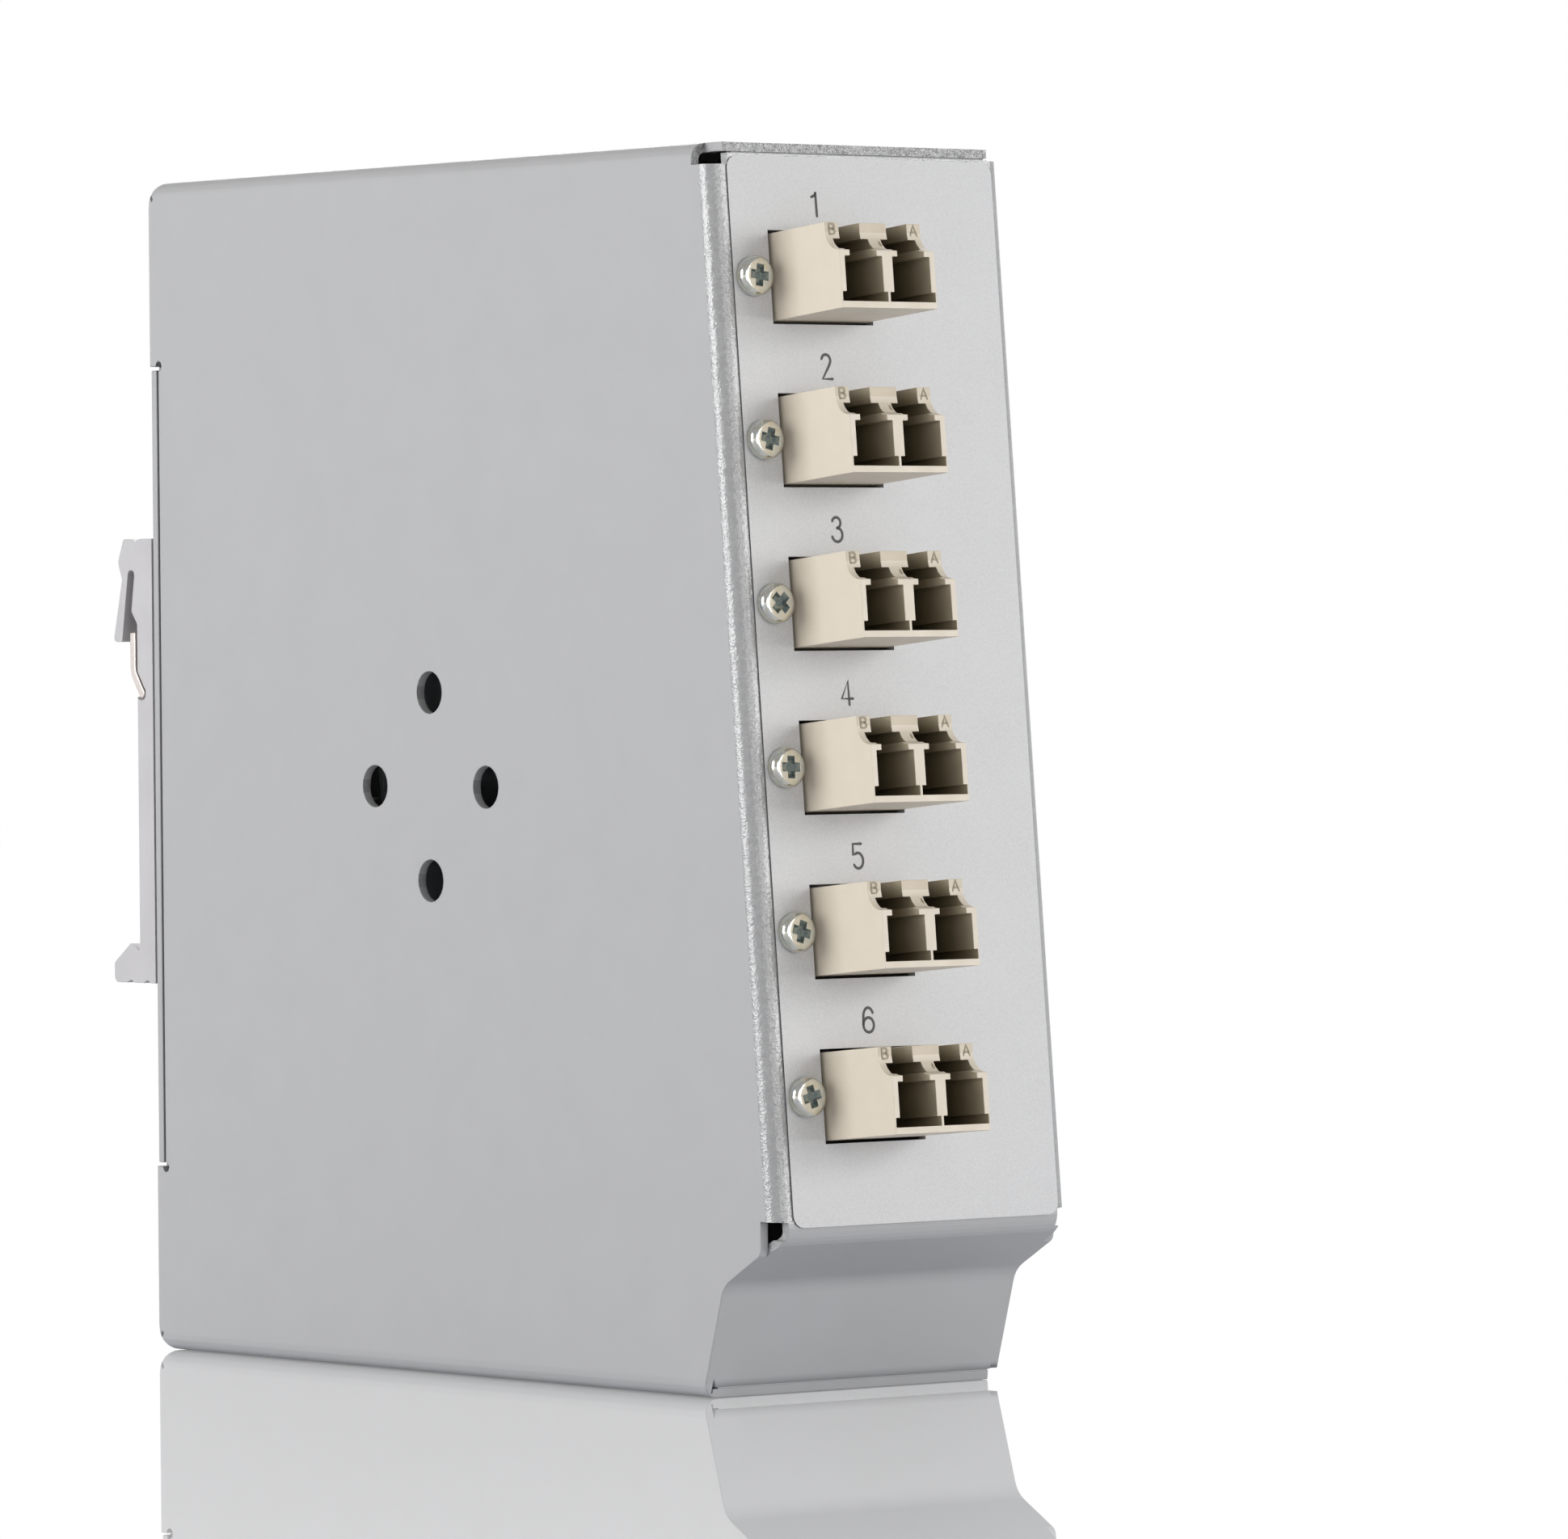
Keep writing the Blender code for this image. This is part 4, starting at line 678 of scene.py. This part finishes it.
def cross_cutters(span, width, depth, top):
    """Two tapered wings and a core, as separate meshes."""
    meshes = []
    for turn in (0.0, math.pi / 2):
        bm = bmesh.new()
        corners = []
        for z, reach, half in ((top + 0.2 * MM, span * 0.52, width * 0.54),
                               (top - depth, span * 0.27, width * 0.38)):
            corners.append([bm.verts.new((sx * reach, sy * half, z))
                            for sx, sy in ((-1, -1), (1, -1), (1, 1), (-1, 1))])
        low, high = corners[1], corners[0]
        bm.faces.new(low[::-1])
        bm.faces.new(high)
        for i in range(4):
            j = (i + 1) % 4
            bm.faces.new((low[i], low[j], high[j], high[i]))
        bmesh.ops.transform(bm, matrix=Matrix.Rotation(turn, 4, "Z"), verts=bm.verts)
        bmesh.ops.recalc_face_normals(bm, faces=bm.faces)
        mesh = bpy.data.meshes.new("wing")
        bm.to_mesh(mesh)
        bm.free()
        meshes.append(mesh)
    bm = bmesh.new()
    lathe(bm, [(0.0, top - depth * 1.25), (width * 0.3, top - depth * 1.15), (width * 0.78, top + 0.2 * MM),
               (0.0, top + 0.2 * MM)], 12)
    mesh = bpy.data.meshes.new("core")
    bm.to_mesh(mesh)
    bm.free()
    meshes.append(mesh)
    return meshes


def screw_mesh(name, radius, height, edge, shank, length, span, width, depth, pitch, sunk=0.0):
    """A pan head, or a flat head when sunk, with a cross recess and thread rings below."""
    profile = [(0.0, height), (radius - edge, height)]
    if sunk:
        profile += [(radius, height), (radius, height - 0.15 * MM), (shank, height - sunk)]
    else:
        profile += [(radius - edge + edge * math.sin(a), height - edge + edge * math.cos(a))
                    for a in (math.radians(d) for d in (18, 36, 54, 72, 90))]
        profile += [(radius, 0.12 * MM), (radius - 0.06 * MM, 0.0), (shank, 0.0)]
    z = profile[-1][1] - pitch
    while z - pitch > -length:
        profile += [(shank, z), (shank * 0.84, z - pitch / 2)]
        z -= pitch
    profile += [(shank * 0.8, z), (shank * 0.55, -length), (0.0, -length)]
    bm = bmesh.new()
    lathe(bm, profile, 40)
    solid = bpy.data.meshes.new(name)
    bm.to_mesh(solid)
    bm.free()
    bm = carved(solid, cross_cutters(span, width, depth, height))
    # Faces in the cross recess take the darker zinc with painted shade.
    for face in bm.faces:
        middle = face.calc_center_median()
        deep = middle.xy.length < radius - edge and 0.03 * MM < height - middle.z < depth * 1.3
        face.material_index = 1 if deep else 0
    return new_mesh(name, bm, [ZINC, ZINC_RECESS_SHADE])


def build_screws():
    mesh = screw_mesh("pan_screw_m2", radius=2.1 * MM, height=HEAD_M2, edge=0.6 * MM, shank=1.0 * MM,
                      length=7.0 * MM, span=2.6 * MM, width=0.95 * MM, depth=0.5 * MM, pitch=0.4 * MM)
    for index in range(6):
        for side in (0, 1):
            number = 2 * index + side
            x = SCREW_X * (2 * side - 1)
            place = coupler_frame(index) @ Matrix.Translation((x, -LABEL_FRONT, 0.0))
            place = place @ Matrix.Rotation(math.pi / 2, 4, "X")
            place = place @ Matrix.Rotation(math.radians(SCREW_TURNS[number]), 4, "Z")
            put_piece(f"pan_screw_{number + 1}", mesh, [f"coupler_screw_{number + 1}"], place)
    plate = screw_mesh("pan_screw_m3", radius=2.8 * MM, height=HEAD_M3, edge=0.8 * MM, shank=1.5 * MM,
                       length=6.0 * MM, span=3.4 * MM, width=0.9 * MM, depth=1.2 * MM, pitch=0.5 * MM)
    for number in range(1, 5):
        low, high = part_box(f"rear_plate_screw_{number}")
        seat = Vector(((low.x + high.x) / 2, high.y - HEAD_M3, (low.z + high.z) / 2))
        place = Matrix.Translation(seat) @ Matrix.Rotation(-math.pi / 2, 4, "X")
        place = place @ Matrix.Rotation(math.radians(31 * number), 4, "Z")
        put_piece(f"plate_screw_{number}", plate, [f"rear_plate_screw_{number}"], place)
    flat = screw_mesh("flat_screw_m3", radius=2.8 * MM, height=0.0, edge=0.05 * MM, shank=1.5 * MM,
                      length=6.0 * MM, span=3.2 * MM, width=0.85 * MM, depth=1.2 * MM, pitch=0.5 * MM,
                      sunk=1.7 * MM)
    for number in (1, 2):
        low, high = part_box(f"clip_screw_{number}")
        seat = Vector(((low.x + high.x) / 2, high.y, (low.z + high.z) / 2))
        place = Matrix.Translation(seat) @ Matrix.Rotation(-math.pi / 2, 4, "X")
        place = place @ Matrix.Rotation(math.radians(20 + 25 * number), 4, "Z")
        put_piece(f"flat_screw_{number}", flat, [f"clip_screw_{number}"], place)


# Clip, spring and rear plate with soft edges

def build_back():
    for node, width, material, slot, body in (
            ("din_clip", 0.14, CLIP, "clip_grey", "box"),
            ("rail_spring", 0.12, STRIP, "spring_steel", "rail_spring"),
            ("rear_plate", 0.12, COAT, "powder_coat", "box")):
        bm = cad_copy(node)
        soften(bm, width * MM, 40)
        put_piece(f"soft_{node}", new_mesh(f"soft_{node}", bm, [material]), [node], body=body)


build_body()
build_label()
build_couplers()
build_screws()
build_back()


# Floor, light and camera

def floor_material():
    """White gloss: the camera sees white with the box's shadow, and its mirror image at a flat angle."""
    n = Nodes("white_gloss_floor")
    nodes, links = n.tree.nodes, n.tree.links
    nodes.remove(n.shader)
    output = nodes["Material Output"]
    path = n.add("ShaderNodeLightPath")
    white = n.add("ShaderNodeEmission")
    white.inputs["Strength"].default_value = 0.93
    matt = n.add("ShaderNodeBsdfDiffuse")
    matt.inputs["Color"].default_value = (0.16, 0.16, 0.16, 1.0)
    glow = n.add("ShaderNodeAddShader")
    links.new(white.outputs[0], glow.inputs[0])
    links.new(matt.outputs[0], glow.inputs[1])
    mirror = n.add("ShaderNodeBsdfGlossy")
    mirror.inputs["Color"].default_value = (1.0, 1.0, 1.0, 1.0)
    mirror.inputs["Roughness"].default_value = 0.004
    gloss = n.add("ShaderNodeLayerWeight")
    gloss.inputs["Blend"].default_value = 0.5
    share = n.add("ShaderNodeMapRange", interpolation_type="SMOOTHSTEP")
    links.new(gloss.outputs["Facing"], share.inputs["Value"])
    for socket, value in (("From Min", 0.80), ("From Max", 0.93), ("To Min", 0.05), ("To Max", 0.74)):
        share.inputs[socket].default_value = value
    seen = n.add("ShaderNodeMixShader")
    links.new(share.outputs[0], seen.inputs[0])
    links.new(glow.outputs[0], seen.inputs[1])
    links.new(mirror.outputs[0], seen.inputs[2])
    lit = n.add("ShaderNodeBsdfDiffuse")
    grain = n.mix(n.span(n.noise(40 * MM, 2.0), 0.0, 1.0), (0.70, 0.715, 0.76, 1.0), (0.72, 0.73, 0.77, 1.0))
    n.put(lit.inputs["Color"], grain)
    both = n.add("ShaderNodeMixShader")
    links.new(path.outputs["Is Camera Ray"], both.inputs[0])
    links.new(lit.outputs[0], both.inputs[1])
    links.new(seen.outputs[0], both.inputs[2])
    links.new(both.outputs[0], output.inputs["Surface"])
    return n.material


def build_floor():
    bm = bmesh.new()
    bmesh.ops.create_grid(bm, x_segments=1, y_segments=1, size=3.0)
    mesh = bpy.data.meshes.new("studio_floor")
    bm.to_mesh(mesh)
    bm.free()
    floor = bpy.data.objects.new("studio_floor", mesh)
    floor.location = (0.0, 0.0, -0.05 * MM)
    mesh.materials.append(floor_material())
    bpy.context.scene.collection.objects.link(floor)


def build_world():
    """A plain pale light, a white horizon for mirrors, and white for the camera."""
    world = bpy.data.worlds.new("studio")
    bpy.context.scene.world = world
    world.use_nodes = True
    nodes, links = world.node_tree.nodes, world.node_tree.links

    def background(strength):
        node = nodes.new("ShaderNodeBackground")
        node.inputs["Color"].default_value = (1.0, 1.0, 1.0, 1.0)
        node.inputs["Strength"].default_value = strength
        return node.outputs[0]

    def choose(factor, plain, other):
        node = nodes.new("ShaderNodeMixShader")
        links.new(factor, node.inputs[0])
        links.new(plain, node.inputs[1])
        links.new(other, node.inputs[2])
        return node.outputs[0]

    nodes.remove(nodes["Background"])
    path = nodes.new("ShaderNodeLightPath")
    coords = nodes.new("ShaderNodeTexCoord")
    parts = nodes.new("ShaderNodeSeparateXYZ")
    links.new(coords.outputs["Generated"], parts.inputs[0])
    height = nodes.new("ShaderNodeMapRange")
    links.new(parts.outputs["Z"], height.inputs["Value"])
    height.inputs["From Min"].default_value = 0.10
    height.inputs["From Max"].default_value = 0.15
    overhead = choose(height.outputs["Result"], background(1.0), background(0.40))
    mirrored = choose(path.outputs["Is Glossy Ray"], background(0.36), overhead)
    clear = nodes.new("ShaderNodeMath")
    clear.operation = "MAXIMUM"
    links.new(path.outputs["Is Camera Ray"], clear.inputs[0])
    links.new(path.outputs["Is Transmission Ray"], clear.inputs[1])
    links.new(choose(clear.outputs[0], mirrored, background(1.0)), nodes["World Output"].inputs["Surface"])


def add_lamp(name, place, size, power):
    """A rectangular area lamp that faces the box."""
    lamp = bpy.data.lights.new(name, "AREA")
    lamp.shape = "RECTANGLE"
    lamp.size, lamp.size_y = size
    lamp.energy = power
    obj = bpy.data.objects.new(name, lamp)
    obj.location = place
    obj.rotation_euler = (Vector(LAMP_AIM) - Vector(place)).to_track_quat("-Z", "Y").to_euler()
    bpy.context.scene.collection.objects.link(obj)


def build_camera():
    """The photograph's own view: a long lens a metre away, turned 38 degrees to the left of the front."""
    azimuth, pitch, roll = (math.radians(angle) for angle in (VIEW_AZIMUTH, VIEW_PITCH, VIEW_ROLL))
    ahead = Vector((-math.sin(azimuth) * math.cos(pitch), math.cos(azimuth) * math.cos(pitch),
                    math.sin(pitch)))
    right = Vector((math.cos(azimuth), math.sin(azimuth), 0.0))
    up = right.cross(ahead)
    right, up = (math.cos(roll) * right + math.sin(roll) * up, -math.sin(roll) * right + math.cos(roll) * up)
    camera = bpy.data.cameras.new("photo_view")
    camera.sensor_width = 36.0
    camera.lens = VIEW_LENS
    camera.clip_end = 20.0
    obj = bpy.data.objects.new("photo_view", camera)
    target = Vector(VIEW_TARGET) * MM
    turn = Matrix((right, up, -ahead)).transposed().to_4x4()
    obj.matrix_world = Matrix.Translation(target - ahead * 1.0) @ turn
    bpy.context.scene.collection.objects.link(obj)
    bpy.context.scene.camera = obj


build_floor()
build_world()
for settings in LAMPS:
    add_lamp(*settings)
build_camera()
bpy.context.scene.view_settings.view_transform = "Standard"
